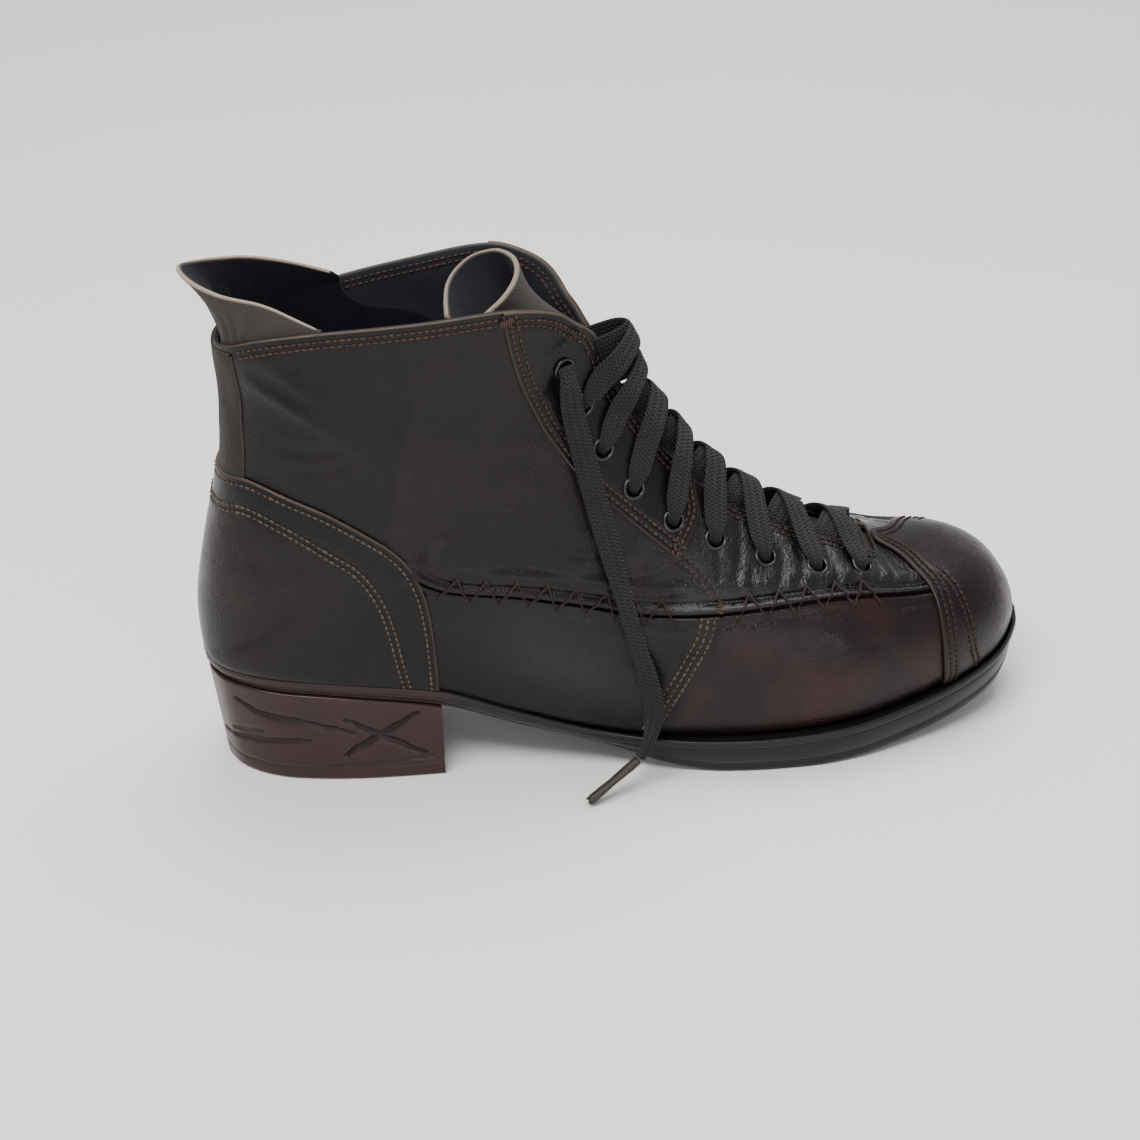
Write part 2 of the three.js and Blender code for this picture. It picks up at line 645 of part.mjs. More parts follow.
function curveThrough(points) {
  return new THREE.CatmullRomCurve3(points.map((p) => new THREE.Vector3(...p)), false, 'centripetal');
}

// Tongue: under the throat up the instep, then leaning back into the shaft and curled round at its
// top. The rim as [share of footLength, share of ballWidth, share of shaftHeight].
const tongueRim = [
  [0.337, -0.235, 0.914], [0.357, -0.19, 0.930], [0.373, -0.10, 0.940], [0.381, 0.02, 0.944],
  [0.378, 0.13, 0.944], [0.363, 0.205, 0.942], [0.337, 0.215, 0.934], [0.316, 0.155, 0.924],
  [0.302, 0.055, 0.916], [0.297, -0.055, 0.911], [0.295, -0.18, 0.905],
];
const tongueSides = 8;
const tongueEdge = 0.79; // share of the way up the sides where the tongue's edges run
const tongueStations = [5, 5.5, 6, 6.5, 7, 7.5, 8, 9, 10, 11, 12];
const tongueLift = [0, 0.18, 0.4, 0.62, 0.82, 1];

function inFrame(points) {
  return points.map(([x, y, z]) => [x * footLength, y * ballWidth, z * shaftHeight]);
}

function tongueGrid() {
  const under = -(wall + 4 * clearance + tongueThickness / 2);
  const rim = curveThrough(inFrame(tongueRim));
  const rowAt = (station) => {
    const row = [];
    for (let c = 0; c <= tongueSides; c += 1) {
      const place = c / tongueSides * 2 - 1;
      const up = mix(1, tongueEdge, Math.abs(place));
      row.push(onForm(station, up, place < 0 ? lateral : medial, under));
    }
    return row;
  };
  const grid = tongueStations.map(rowAt);
  const top = rowAt(throatEnd);
  tongueLift.forEach((lift) => {
    grid.push(top.map((point, c) => {
      const target = rim.getPointAt(c / tongueSides);
      const bent = point.clone().lerp(target, lift);
      bent.x += Math.sin(lift * Math.PI) * 2;
      return bent;
    }));
  });
  return grid;
}
addPiece('tongue', geometryOf(bentSheet(tongueGrid(), tongueThickness)), suede);

// Back tab: a soft collar piece sewn inside the back of the shaft and flaring out over it.
const tabRim = [
  [0.150, -0.275, 0.912], [0.120, -0.235, 0.932], [0.086, -0.175, 0.948], [0.040, -0.130, 0.962],
  [0.010, -0.075, 0.980], [-0.003, 0.010, 0.990], [0.013, 0.110, 0.980], [0.066, 0.195, 0.966],
  [0.120, 0.235, 0.942], [0.165, 0.265, 0.912],
];
const tabShares = [0, 0.14, 0.3, 0.5, 0.74, 0.86]; // of the side seam's height, as the upper's corners are
const tabStations = [18, 19, 21];
const tabLift = [0.33, 0.67, 1];

function tabGrid() {
  const inside = -(wall + 3 * clearance + tabThickness / 2);
  const rim = curveThrough(inFrame(tabRim));
  const rowAt = (station) => {
    const { seam } = sectionAt(station);
    const half = (side) => tabShares.map((share) => latticePoint(station, { up: share * seam }, side, inside));
    return [...half(lateral).reverse(), ...half(medial).slice(1)];
  };
  const grid = tabStations.map(rowAt);
  const top = grid[grid.length - 1];
  tabLift.forEach((lift) => {
    grid.push(top.map((point, c) => {
      const target = rim.getPointAt(c / (top.length - 1));
      return new THREE.Vector3(
        mix(point.x, target.x, lift ** 2),
        mix(point.y, target.y, lift),
        mix(point.z, target.z, lift),
      );
    }));
  });
  return grid;
}
addPiece('back_tab', geometryOf(bentSheet(tabGrid(), tabThickness)), suede);

// Lace crossings: from each eyelet over its own flap, across the tongue, to the opposite flap.
const laceSteps = 4;

function laceStrip(middle, normals, thickness) {
  const grid = middle.map((point, r) => {
    const next = middle[Math.min(r + 1, middle.length - 1)];
    const last = middle[Math.max(r - 1, 0)];
    const aside = next.clone().sub(last).cross(normals[r]).normalize();
    return [-1, 1].map((side) => point.clone().addScaledVector(aside, side * laceWidth / 2));
  });
  const faces = [1, -1].map((face) => grid.map((row, r) => row.map((point) => (
    point.clone().addScaledVector(normals[r], face * thickness / 2)))));
  return gridSolid(faces[0], faces[1], true);
}

function crossing(k, side) {
  const [fromStation, fromUp] = eyelets[k + 1];
  const [toStation] = eyelets[k];
  const reachUp = Math.min(toStation, throatEnd);
  const added = fromStation >= facingStart ? overlay : 0;
  const above = added + eyeletSeat + eyeletLip + 2 * clearance + laceThickness / 2;
  const edge = sectionAt(fromStation).throat;
  const stops = [
    [fromStation, fromUp, side, above],
    [mix(fromStation, reachUp, 0.2), edge, side, above + 0.3],
    [mix(fromStation, reachUp, 0.48), 1, side, above + (side === medial ? 0.9 : 0.5)],
    [mix(fromStation, reachUp, 0.72), 0.955, -side, 0.6],
  ];
  const middle = new THREE.CatmullRomCurve3(stops.map((stop) => onForm(...stop)), false, 'centripetal');
  const normals = new THREE.CatmullRomCurve3(stops.map((stop) => formNormal(stop[0], stop[1], stop[2])));
  const points = middle.getPoints(laceSteps);
  const ups = normals.getPoints(laceSteps).map((normal) => normal.normalize());
  return laceStrip(points, ups, laceThickness);
}
for (let k = 0; k < eyelets.length - 1; k += 1) {
  const joined = crossing(k, lateral).add(crossing(k, medial));
  addPiece(`lace_cross_${k + 1}`, geometryOf(joined), laceCloth);
}

// The free end of the lace, out of the top lateral eyelet, down over the quarter to the floor, as
// [share of footLength, share of ballWidth, share of shaftHeight].
const laceRoute = inFrame([
  [0.4287, -0.2304, 0.8102], [0.4300, -0.2457, 0.7665], [0.4340, -0.2489, 0.7107],
  [0.4420, -0.2565, 0.6497], [0.4533, -0.2935, 0.5685], [0.4660, -0.3413, 0.4822],
  [0.4807, -0.3935, 0.3909], [0.4947, -0.4457, 0.2995], [0.5077, -0.4957, 0.2234],
  [0.5140, -0.5283, 0.1675], [0.5087, -0.5500, 0.1142], [0.4947, -0.5717, 0.0711],
]);
const agletEnds = inFrame([[0.4920, -0.5750, 0.0670], [0.4280, -0.6576, 0.0107]]);

function flatSection(width, thickness) {
  const points = [];
  const sides = 8;
  for (let k = 0; k < sides; k += 1) {
    const angle = (k + 0.5) / sides * Math.PI * 2;
    points.push(new THREE.Vector2(Math.cos(angle) * width / 2 * 1.08, Math.sin(angle) * thickness / 2 * 1.08));
  }
  return points;
}

function laceEndGeometry() {
  const curve = curveThrough(laceRoute);
  const frames = curve.computeFrenetFrames(1, false);
  const wide = curve.getTangentAt(0).cross(formNormal(...eyelets[0], lateral)).normalize();
  const angle = Math.atan2(wide.dot(frames.binormals[0]), wide.dot(frames.normals[0]));
  const outline = flatSection(laceWidth, laceThickness).map((p) => p.rotateAround(new THREE.Vector2(), angle));
  return new THREE.ExtrudeGeometry(new THREE.Shape(outline), { steps: 15, bevelEnabled: false, extrudePath: curve });
}
addPiece('lace_end', laceEndGeometry(), laceCloth);

function agletGeometry() {
  const [from, to] = agletEnds.map((p) => new THREE.Vector3(...p));
  const run = to.clone().sub(from);
  const geometry = new THREE.CylinderGeometry(agletRadius, agletRadius, run.length(), 8);
  const seat = { normal: run.clone().normalize(), place: from.clone().add(to).multiplyScalar(0.5) };
  return turnedTo(geometry, seat);
}
addPiece('aglet', agletGeometry(), { color: 0x55503f, roughness: 0.5, metalness: 0.2 });

// The origin goes to the middle of the heel's ground face.
const heelLength = (breastX - sectionAt(heelBack).base * footLength) * heelTaper;
group.position.set(-(breastX - heelLength / 2), 0, 0);

export default group;
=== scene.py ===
import math
from functools import partial

import bpy
import numpy as np
from mathutils import Matrix, Vector


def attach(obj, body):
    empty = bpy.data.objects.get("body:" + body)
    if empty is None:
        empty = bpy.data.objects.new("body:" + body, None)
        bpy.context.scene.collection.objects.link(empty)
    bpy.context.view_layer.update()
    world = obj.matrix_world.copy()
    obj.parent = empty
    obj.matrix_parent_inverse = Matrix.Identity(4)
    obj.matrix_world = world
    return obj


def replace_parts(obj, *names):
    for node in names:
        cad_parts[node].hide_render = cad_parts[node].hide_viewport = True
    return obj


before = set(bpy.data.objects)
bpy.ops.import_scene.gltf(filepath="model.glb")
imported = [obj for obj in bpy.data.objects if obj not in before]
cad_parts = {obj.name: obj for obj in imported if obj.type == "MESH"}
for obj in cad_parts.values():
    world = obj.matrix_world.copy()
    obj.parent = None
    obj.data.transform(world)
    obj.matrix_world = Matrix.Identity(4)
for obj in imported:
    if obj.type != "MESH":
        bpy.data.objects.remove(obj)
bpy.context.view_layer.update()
mm = 0.001

boot = {
    "footLength": 300,
    "ballWidth": 92,
    "seatHeight": 46,
    "instepHeight": 98,
    "shaftHeight": 197,
    "wall": 2.2,
    "overlay": 1.3,
    "seamRidge": 1.5,
    "clearance": 0.3,
    "heelBreast": 10,  # station
    "heelBack": 15,  # station where the feather line closes
    "facingStart": 7.65,
    "heelTaper": 0.954,
    "waistline": 0.4,
}
lateral, medial = -1, 1
labels = {lateral: "Lateral", medial: "Medial"}

# One row for each section, from the tip of the toe round the heel to the topline.
columns = ("base", "seat", "rise", "ridge", "instep", "climb", "lateral", "medial", "swing",
           "tuck", "belly", "crown", "curl", "reach", "tread", "seam", "facing", "throat")
rows = np.array([
    [0.993, 0.690, 0.000, 0.994, 0.367, 0.000, 0.033, 0.033, 0.054,
     0.80, 0.50, 2.00, 2.0, 0.75, 0.390, 0.74, 0.78, 0.92],
    [0.984, 0.663, 0.000, 0.986, 0.460, 0.000, 0.163, 0.163, 0.049,
     0.85, 0.42, 2.10, 2.0, 0.75, 0.360, 0.74, 0.78, 0.92],
    [0.957, 0.587, 0.000, 0.960, 0.561, 0.000, 0.288, 0.283, 0.038,
     0.88, 0.38, 2.20, 2.0, 0.80, 0.257, 0.74, 0.78, 0.92],
    [0.905, 0.500, 0.000, 0.912, 0.628, 0.000, 0.386, 0.380, 0.027,
     0.90, 0.34, 2.30, 2.0, 0.85, 0.163, 0.74, 0.78, 0.92],
    [0.833, 0.417, 0.000, 0.833, 0.673, 0.000, 0.462, 0.446, 0.016,
     0.92, 0.30, 2.20, 2.0, 0.90, 0.078, 0.73, 0.77, 0.92],
    [0.750, 0.359, 0.000, 0.760, 0.776, 0.000, 0.511, 0.484, 0.000,
     0.93, 0.26, 2.00, 2.0, 1.00, 0.015, 0.70, 0.75, 0.912],
    [0.650, 0.326, 0.000, 0.683, 0.878, 0.000, 0.516, 0.467, 0.000,
     0.94, 0.22, 1.85, 2.0, 1.00, -0.020, 0.655, 0.71, 0.90],
    [0.550, 0.326, 0.000, 0.627, 0.995, 0.000, 0.484, 0.413, 0.000,
     0.93, 0.20, 1.75, 2.0, 0.85, 0.048, 0.61, 0.67, 0.882],
    [0.450, 0.391, 0.000, 0.580, 1.000, 0.130, 0.429, 0.370, 0.000,
     0.93, 0.20, 1.70, 2.0, 0.45, 0.250, 0.568, 0.69, 0.878],
    [0.350, 0.587, 0.000, 0.543, 1.000, 0.272, 0.391, 0.348, 0.000,
     0.93, 0.22, 1.70, 2.0, 0.30, 0.435, 0.53, 0.697, 0.878],
    [0.260, 0.815, 0.000, 0.517, 1.000, 0.394, 0.370, 0.348, 0.000,
     0.95, 0.25, 1.70, 2.0, 0.25, 0.652, 0.485, 0.71, 0.878],
    [0.150, 0.935, 0.000, 0.500, 1.000, 0.495, 0.359, 0.348, 0.000,
     0.95, 0.28, 1.75, 2.0, 0.20, 0.783, 0.45, 0.723, 0.878],
    [0.060, 0.989, 0.000, 0.490, 1.000, 0.576, 0.348, 0.337, 0.000,
     0.84, 0.33, 1.80, 2.0, 0.20, 0.837, 0.44, 0.725, 0.878],
    [0.007, 1.000, 0.000, 0.483, 1.000, 0.636, 0.342, 0.337, 0.000,
     0.57, 0.36, 1.85, 2.0, 0.20, 0.859, 0.44, 0.723, 0.882],
    [-0.015, 1.000, 0.003, 0.480, 1.000, 0.687, 0.337, 0.337, 0.000,
     0.26, 0.38, 1.90, 2.1, 0.20, 0.865, 0.44, 0.715, 0.885],
    [-0.020, 1.000, 0.012, 0.477, 1.000, 0.737, 0.337, 0.337, 0.000,
     0.00, 0.40, 2.00, 2.2, 0.20, 0.865, 0.44, 0.69, 0.885],
    [-0.021, 1.000, 0.132, 0.475, 1.000, 0.757, 0.334, 0.334, 0.000,
     0.00, 0.41, 2.05, 2.2, 0.20, 0.865, 0.44, 0.68, 0.885],
    [-0.003, 1.000, 0.305, 0.473, 1.000, 0.778, 0.326, 0.326, 0.000,
     0.00, 0.43, 2.10, 2.3, 0.20, 0.865, 0.43, 0.665, 0.885],
    [0.020, 1.000, 0.490, 0.473, 1.000, 0.818, 0.321, 0.321, 0.000,
     0.00, 0.45, 2.30, 2.4, 0.20, 0.865, 0.42, 0.635, 0.885],
    [0.027, 1.000, 0.656, 0.473, 1.000, 0.869, 0.326, 0.326, 0.000,
     0.00, 0.46, 2.40, 2.4, 0.20, 0.865, 0.41, 0.60, 0.885],
    [0.027, 1.000, 0.808, 0.473, 1.000, 0.929, 0.332, 0.332, 0.000,
     0.00, 0.47, 2.50, 2.5, 0.20, 0.865, 0.40, 0.575, 0.885],
    [0.030, 1.000, 0.954, 0.473, 1.000, 1.000, 0.337, 0.337, 0.000,
     0.00, 0.47, 2.50, 2.5, 0.20, 0.865, 0.40, 0.57, 0.885],
])
lastStation = len(rows) - 1
# [share of the way up the side, station], from the back to the throat
toplines = {
    lateral: [[0, 20.02], [0.1, 20.12], [0.2, 20.28], [0.3, 20.34], [0.42, 20.16], [0.57, 19.88],
              [0.66, 19.4], [0.72, 18.8],
              [0.8, 17.4], [0.86, 14.9], [0.885, 12.9]],
    medial: [[0, 20.02], [0.1, 20.0], [0.2, 19.98], [0.3, 20.0], [0.42, 20.05], [0.57, 20.05],
             [0.63, 19.75], [0.72, 18.9],
             [0.8, 17.3], [0.845, 15.0], [0.885, 12.9]],
}
# [station, share of the way up the side], from the top down
eyelets = [[14.83, 0.767], [11.73, 0.787], [10.25, 0.763], [9.1, 0.75], [8.1, 0.75],
           [7.2, 0.767], [6.23, 0.777], [5.4, 0.79], [4.65, 0.827]]


def smooth(x):
    x = np.clip(x, 0, 1)
    return x * x * (3 - 2 * x)


# 1 at the middle, falling off both ways.
def hump(x, middle, width):
    return np.exp(-((x - middle) / width) ** 2)


def unit(v):
    return v / np.maximum(np.linalg.norm(v, axis=-1, keepdims=True), 1e-12)


def sectionAt(station):
    s = np.clip(np.asarray(station, float), 0, lastStation)
    k = np.minimum(s.astype(int), lastStation - 1)
    f = (s - k)[..., None]
    p1, p2 = rows[k], rows[k + 1]
    p0 = np.where((k > 0)[..., None], rows[np.maximum(k - 1, 0)], 2 * p1 - p2)
    p3 = np.where((k < lastStation - 1)[..., None], rows[np.minimum(k + 2, lastStation)],
                  2 * p2 - p1)
    m1, m2 = (p2 - p0) / 2, (p3 - p1) / 2
    row = ((2 * f**3 - 3 * f**2 + 1) * p1 + (f**3 - 2 * f**2 + f) * m1
           + (3 * f**2 - 2 * f**3) * p2 + (f**3 - f**2) * m2)
    return dict(zip(columns, np.moveaxis(row, -1, 0)))


def formPoint(station, up, side):
    s = sectionAt(station)
    up = np.asarray(up, float)
    side = np.asarray(side, float)
    half = np.where(side < 0, s["lateral"], s["medial"]) * boot["ballWidth"]
    tuck = np.maximum(s["tuck"], 0)
    low = np.clip(up / boot["waistline"], 0, 1) * math.pi / 2
    high = np.clip((up - boot["waistline"]) / (1 - boot["waistline"]), 0, 1) * math.pi / 2
    heightLow = s["belly"] * (1 - np.maximum(np.cos(low), 0) ** (2 / s["curl"]))
    widthLow = half * (tuck + (1 - tuck) * np.maximum(np.sin(low), 0) ** (2 / s["curl"]))
    heightHigh = s["belly"] + (1 - s["belly"]) * np.maximum(np.sin(high), 0) ** (2 / s["crown"])
    widthHigh = half * np.maximum(np.cos(high), 0) ** (2 / s["crown"])
    below = up < boot["waistline"]
    height = np.where(below, heightLow, heightHigh)
    width = np.where(below, widthLow, widthHigh)
    feather = s["seat"] * boot["seatHeight"] + np.maximum(s["rise"],
                                                          0) * (boot["shaftHeight"]
                                                                - boot["seatHeight"])
    ridge = s["instep"] * boot["instepHeight"] + s["climb"] * (boot["shaftHeight"]
                                                               - boot["instepHeight"])
    return np.stack(np.broadcast_arrays(
        (s["base"] + (s["ridge"] - s["base"]) * height) * boot["footLength"],
        s["swing"] * boot["ballWidth"] + side * width,
        feather + (ridge - feather) * height,
    ), -1)


def sideNormal(station, up, side):
    step = 0.02
    u = np.clip(up, 0.12, 0.98)
    s = np.clip(station, step, lastStation - step)
    along = formPoint(s + step, u, side) - formPoint(s - step, u, side)
    across = formPoint(s, u + step / 2, side) - formPoint(s, u - step / 2, side)
    return unit(np.cross(along, across) * np.asarray(side, float)[..., None])


def formNormal(station, up, side):
    station, up, side = np.broadcast_arrays(np.asarray(station, float), np.asarray(up, float),
                                            np.asarray(side, float))
    own = sideNormal(station, up, side)
    both = own + sideNormal(station, up, -side)
    both[..., 1] = 0
    inHeel = smooth((station - 14.5) / 0.5)
    level = own.copy()
    level[..., 2] *= np.clip(up / 0.12, 0, 1)
    own = unit(level + (own - level) * inHeel[..., None])
    shared = np.maximum(smooth((up - 0.93) / 0.07), smooth((0.05 - up) / 0.05) * inHeel)[..., None]
    return unit(own + (unit(both) - own) * shared)


def onForm(station, up, side, away):
    away = np.asarray(away, float)[..., None]
    return formPoint(station, up, side) + formNormal(station, up, side) * away


# How far along a line each of its points is.
def runOf(line):
    return np.r_[0, np.cumsum(np.linalg.norm(np.diff(line, axis=0), axis=1))]


# Values given along a line, at evenly spaced places on it.
def evenly(line, values, count):
    run = runOf(line)
    return np.interp(np.linspace(0, run[-1], count), run, values)


def resample(line, count):
    return np.stack([evenly(line, column, count) for column in line.T], -1)


def curveThrough(points, count):
    p = np.asarray(points, float)
    p = np.vstack([2 * p[0] - p[1], p, 2 * p[-1] - p[-2]])
    parts = []
    for k in range(1, len(p) - 2):
        a, b, c, d = p[k - 1:k + 3]
        t = np.cumsum([0] + [max(np.linalg.norm(v), 1e-9) ** 0.5 for v in (b - a, c - b, d - c)])
        at = np.linspace(t[1], t[2], 40, endpoint=False)[:, None]
        ab = (t[1] - at) / (t[1] - t[0]) * a + (at - t[0]) / (t[1] - t[0]) * b
        bc = (t[2] - at) / (t[2] - t[1]) * b + (at - t[1]) / (t[2] - t[1]) * c
        cd = (t[3] - at) / (t[3] - t[2]) * c + (at - t[2]) / (t[3] - t[2]) * d
        abc = (t[2] - at) / (t[2] - t[0]) * ab + (at - t[0]) / (t[2] - t[0]) * bc
        bcd = (t[3] - at) / (t[3] - t[1]) * bc + (at - t[1]) / (t[3] - t[1]) * cd
        parts.append((t[2] - at) / (t[2] - t[1]) * abc + (at - t[1]) / (t[2] - t[1]) * bcd)
    parts.append(p[-2][None])
    return resample(np.vstack(parts), count)


upScale = 12.0  # makes a share of the way up count as much as stations do while a line is drawn


# A line over one side of the form, from [station, up] pairs, evenly spaced in millimetres.
def surfaceLine(pairs, side, count):
    fine = curveThrough([[s, u * upScale] for s, u in pairs], 400)
    fine[:, 1] /= upScale
    place = formPoint(fine[:, 0], fine[:, 1], side)
    return evenly(place, fine[:, 0], count), evenly(place, fine[:, 1], count)


# The [station, up] pairs whose places on the form come nearest to given points, from a first guess.
def settle(goal, s, u, side):
    for _ in range(7):
        step = 0.01
        here = formPoint(s, u, side)
        js = (formPoint(s + step, u, side) - here) / step
        ju = (formPoint(s, u + step, side) - here) / step
        away = goal - here
        a, b, c = (js * js).sum(-1) + 0.4, (js * ju).sum(-1), (ju * ju).sum(-1) + 0.4
        e, f = (js * away).sum(-1), (ju * away).sum(-1)
        det = np.maximum(a * c - b * b, 1e-9)
        s = np.clip(s + np.clip((c * e - b * f) / det, -0.5, 0.5), 0, lastStation)
        u = np.clip(u + np.clip((a * f - b * e) / det, -0.05, 0.05), 0, 1)
    return s, u


# A line over the form that is smooth in millimetres, through [station, up] pairs.
def smoothLine(pairs, side, count):
    given = np.array(pairs, float)
    fine = curveThrough(np.column_stack([formPoint(given[:, 0], given[:, 1], side),
                                         given * [1e-4, 1e-4]]), count)
    return settle(fine[:, :3], fine[:, 3] * 1e4, fine[:, 4] * 1e4, side)


# The line that runs beside another at a distance in millimetres; positive is towards the given
# [station, up].
def besideLine(line, side, distance, toward):
    s, u = line
    place = formPoint(s, u, side)
    run = unit(np.gradient(place, axis=0))
    aside = unit(np.cross(formNormal(s, u, side), run))
    aside *= np.sign(np.sum(aside * (formPoint(*toward, side) - place), -1).mean())
    return settle(place + aside * distance, s, u, side)


# Distance from points to a line, the nearest share of its length, and which side of it they lie.
def nearLine(points, line):
    best = np.full(points.shape[:-1], 1e9)
    share = np.zeros_like(best)
    last = len(line) - 1
    for k in range(last):
        a, ab = line[k], line[k + 1] - line[k]
        t = np.clip(((points - a) @ ab) / max(ab @ ab, 1e-9), 0, 1)
        d = np.linalg.norm(points - a - t[..., None] * ab, axis=-1)
        nearer = d < best
        best = np.where(nearer, d, best)
        share = np.where(nearer, (k + t) / last, share)
    return best, share


def valueNoise(points, size, seed):
    table = np.random.default_rng(seed).random(4096)
    q = points / size
    i = np.floor(q).astype(np.int64)
    f = smooth(q - i)
    total = 0
    for dx in (0, 1):
        for dy in (0, 1):
            for dz in (0, 1):
                key = ((i[..., 0] + dx) * 73856093 ^ (i[..., 1] + dy) * 19349663
                       ^ (i[..., 2] + dz) * 83492791) & 4095
                weight = ((f[..., 0] if dx else 1 - f[..., 0])
                          * (f[..., 1] if dy else 1 - f[..., 1])
                          * (f[..., 2] if dz else 1 - f[..., 2]))
                total = total + table[key] * weight
    return total * 2 - 1


# The height that a column of the sections gives at places along the foot.
def heightAlong(x, column):
    s = sectionAt(np.linspace(0, boot["heelBack"], 600))
    return np.interp(x, s["base"][::-1] * boot["footLength"], s[column][::-1] * boot["seatHeight"])


def treadHeight(x):
    return np.maximum(heightAlong(x, "tread"), 0)


def seatPlace(x):
    return heightAlong(x, "seat")


breastX = float(sectionAt(boot["heelBreast"])["base"]) * boot["footLength"]
heelBackX = float(sectionAt(boot["heelBack"])["base"]) * boot["footLength"]
originX = breastX - (breastX - heelBackX) * boot["heelTaper"] / 2


def toFrame(points):
    return (np.asarray(points, float) - [originX, 0, 0]) * mm


def gridQuads(rowCount, columnCount):
    r, c = np.meshgrid(np.arange(rowCount - 1), np.arange(columnCount - 1), indexing="ij")
    a = (r * columnCount + c).ravel()
    return np.stack([a, a + 1, a + columnCount + 1, a + columnCount], -1)


# Quads between closed rows of points.
def ringQuads(rowCount, sides):
    return [[r * sides + k, r * sides + (k + 1) % sides, (r + 1) * sides + (k + 1) % sides,
             (r + 1) * sides + k]
            for r in range(rowCount - 1) for k in range(sides)]


def tubeFaces(rowCount, sides):
    ends = [list(range(sides))[::-1], [(rowCount - 1) * sides + k for k in range(sides)]]
    return ringQuads(rowCount, sides) + ends


def addObject(name, data):
    thing = bpy.data.objects.new(name, data)
    bpy.context.scene.collection.objects.link(thing)
    return thing


def rootPiece(name, mesh):
    piece = addObject(name, mesh)
    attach(piece, "root")
    return piece


def makePiece(name, points, faces, material, marks=None, across=None):
    points = toFrame(points)
    mesh = bpy.data.meshes.new(name)
    mesh.from_pydata(points.tolist(), [], faces.tolist() if hasattr(faces, "tolist") else faces)
    for mark, values in (marks or {}).items():
        pointMark = mesh.attributes.new(mark, "FLOAT", "POINT")
        pointMark.data.foreach_set("value", np.asarray(values, np.float32).ravel())
    if across is not None:
        corner = np.zeros(len(mesh.loops), np.int32)
        mesh.loops.foreach_get("vertex_index", corner)
        uvLayer = mesh.uv_layers.new(name="UVMap")
        uvLayer.data.foreach_set("uv", np.asarray(across, np.float32)[corner].ravel())
    mesh.validate()
    mesh.polygons.foreach_set("use_smooth", np.ones(len(mesh.polygons), bool))
    mesh.materials.append(material)
    return rootPiece(name, mesh)


# Turns the faces so that they look the way the given directions do, one for each face.
def turned(points, faces, directions):
    a, b, c = (points[faces[:, k]] for k in range(3))
    agree = np.sum(np.cross(b - a, c - a) * directions, -1)
    return faces if np.sign(agree).sum() >= 0 else faces[:, ::-1]


def facing(points, faces, outward):
    return turned(points, faces, outward[faces[:, 0]])


print("camera")
view = {
    "azimuth": -6.0,
    "elevation": 31.0,
    "roll": -1.5,
    "distance": 0.892,
    "lens": 75.79,  # millimetres, on a 36 mm wide picture
    "target": (0.09197, 0.0, 0.0641),
}


def makeCamera():
    a, e, r = (math.radians(view[k]) for k in ("azimuth", "elevation", "roll"))
    back = Vector((math.sin(a) * math.cos(e), -math.cos(a) * math.cos(e), math.sin(e)))
    level = Vector((math.cos(a), math.sin(a), 0))
    rising = back.cross(level)
    right = math.cos(r) * level + math.sin(r) * rising
    upward = math.cos(r) * rising - math.sin(r) * level
    data = bpy.data.cameras.new("camera")
    data.lens = view["lens"]
    data.sensor_width = 36
    data.clip_start = 0.01
    data.clip_end = 20
    camera = addObject("camera", data)
    place = Vector(view["target"]) + back * view["distance"]
    camera.matrix_world = Matrix([
        [right.x, upward.x, back.x, place.x],
        [right.y, upward.y, back.y, place.y],
        [right.z, upward.z, back.z, place.z],
        [0, 0, 0, 1],
    ])
    bpy.context.scene.camera = camera


makeCamera()


print("materials")


def newMaterial(name):
    material = bpy.data.materials.new(name)
    material.use_nodes = True
    tree = material.node_tree
    return material, tree, tree.nodes["Principled BSDF"]


def addNode(tree, kind, **settings):
    node = tree.nodes.new(kind)
    for key, value in settings.items():
        if key in node.inputs:
            node.inputs[key].default_value = value
        else:
            setattr(node, key, value)
    return node


def link(tree, a, b):
    tree.links.new(a, b)


def setInputs(node, values):
    for key, value in values.items():
        node.inputs[key].default_value = value


def math2(tree, operation, first, second=None, third=None, clamp=False):
    node = addNode(tree, "ShaderNodeMath", operation=operation, use_clamp=clamp)
    for socket, value in zip(node.inputs, (first, second, third)):
        if isinstance(value, (int, float)):
            socket.default_value = value
        elif value is not None:
            link(tree, value, socket)
    return node.outputs[0]


def mixColour(tree, factor, first, second):
    node = tree.nodes.new("ShaderNodeMix")
    node.data_type = "RGBA"
    for socket, value in ((node.inputs[0], factor), (node.inputs[6], first),
                          (node.inputs[7], second)):
        if isinstance(value, (int, float)):
            socket.default_value = value
        elif isinstance(value, tuple):
            socket.default_value = (*value, 1)
        else:
            link(tree, value, socket)
    return node.outputs[2]


def attribute(tree, name):
    node = tree.nodes.new("ShaderNodeAttribute")
    node.attribute_name = name
    return node.outputs["Fac"]


def noiseAt(tree, place, scale, detail=3.0, roughness=0.5, stretch=None):
    node = addNode(tree, "ShaderNodeTexNoise")
    setInputs(node, {"Scale": scale, "Detail": detail, "Roughness": roughness})
    if stretch:
        mapping = tree.nodes.new("ShaderNodeMapping")
        mapping.inputs["Scale"].default_value = stretch
        link(tree, place, mapping.inputs["Vector"])
        place = mapping.outputs[0]
    link(tree, place, node.inputs["Vector"])
    return node.outputs["Fac"]


def bump(tree, height, distance, strength, under=None):
    node = tree.nodes.new("ShaderNodeBump")
    setInputs(node, {"Distance": distance, "Strength": strength})
    link(tree, height, node.inputs["Height"])
    if under is not None:
        link(tree, under, node.inputs["Normal"])
    return node.outputs[0]


def newGroup(name, inputs, outputs):
    group = bpy.data.node_groups.new(name, "ShaderNodeTree")
    for label, kind, value in inputs:
        socket = group.interface.new_socket(label, in_out="INPUT", socket_type=kind)
        if value is not None:
            socket.default_value = value
    for label, kind in outputs:
        group.interface.new_socket(label, in_out="OUTPUT", socket_type=kind)
    return group, group.nodes.new("NodeGroupInput"), group.nodes.new("NodeGroupOutput")


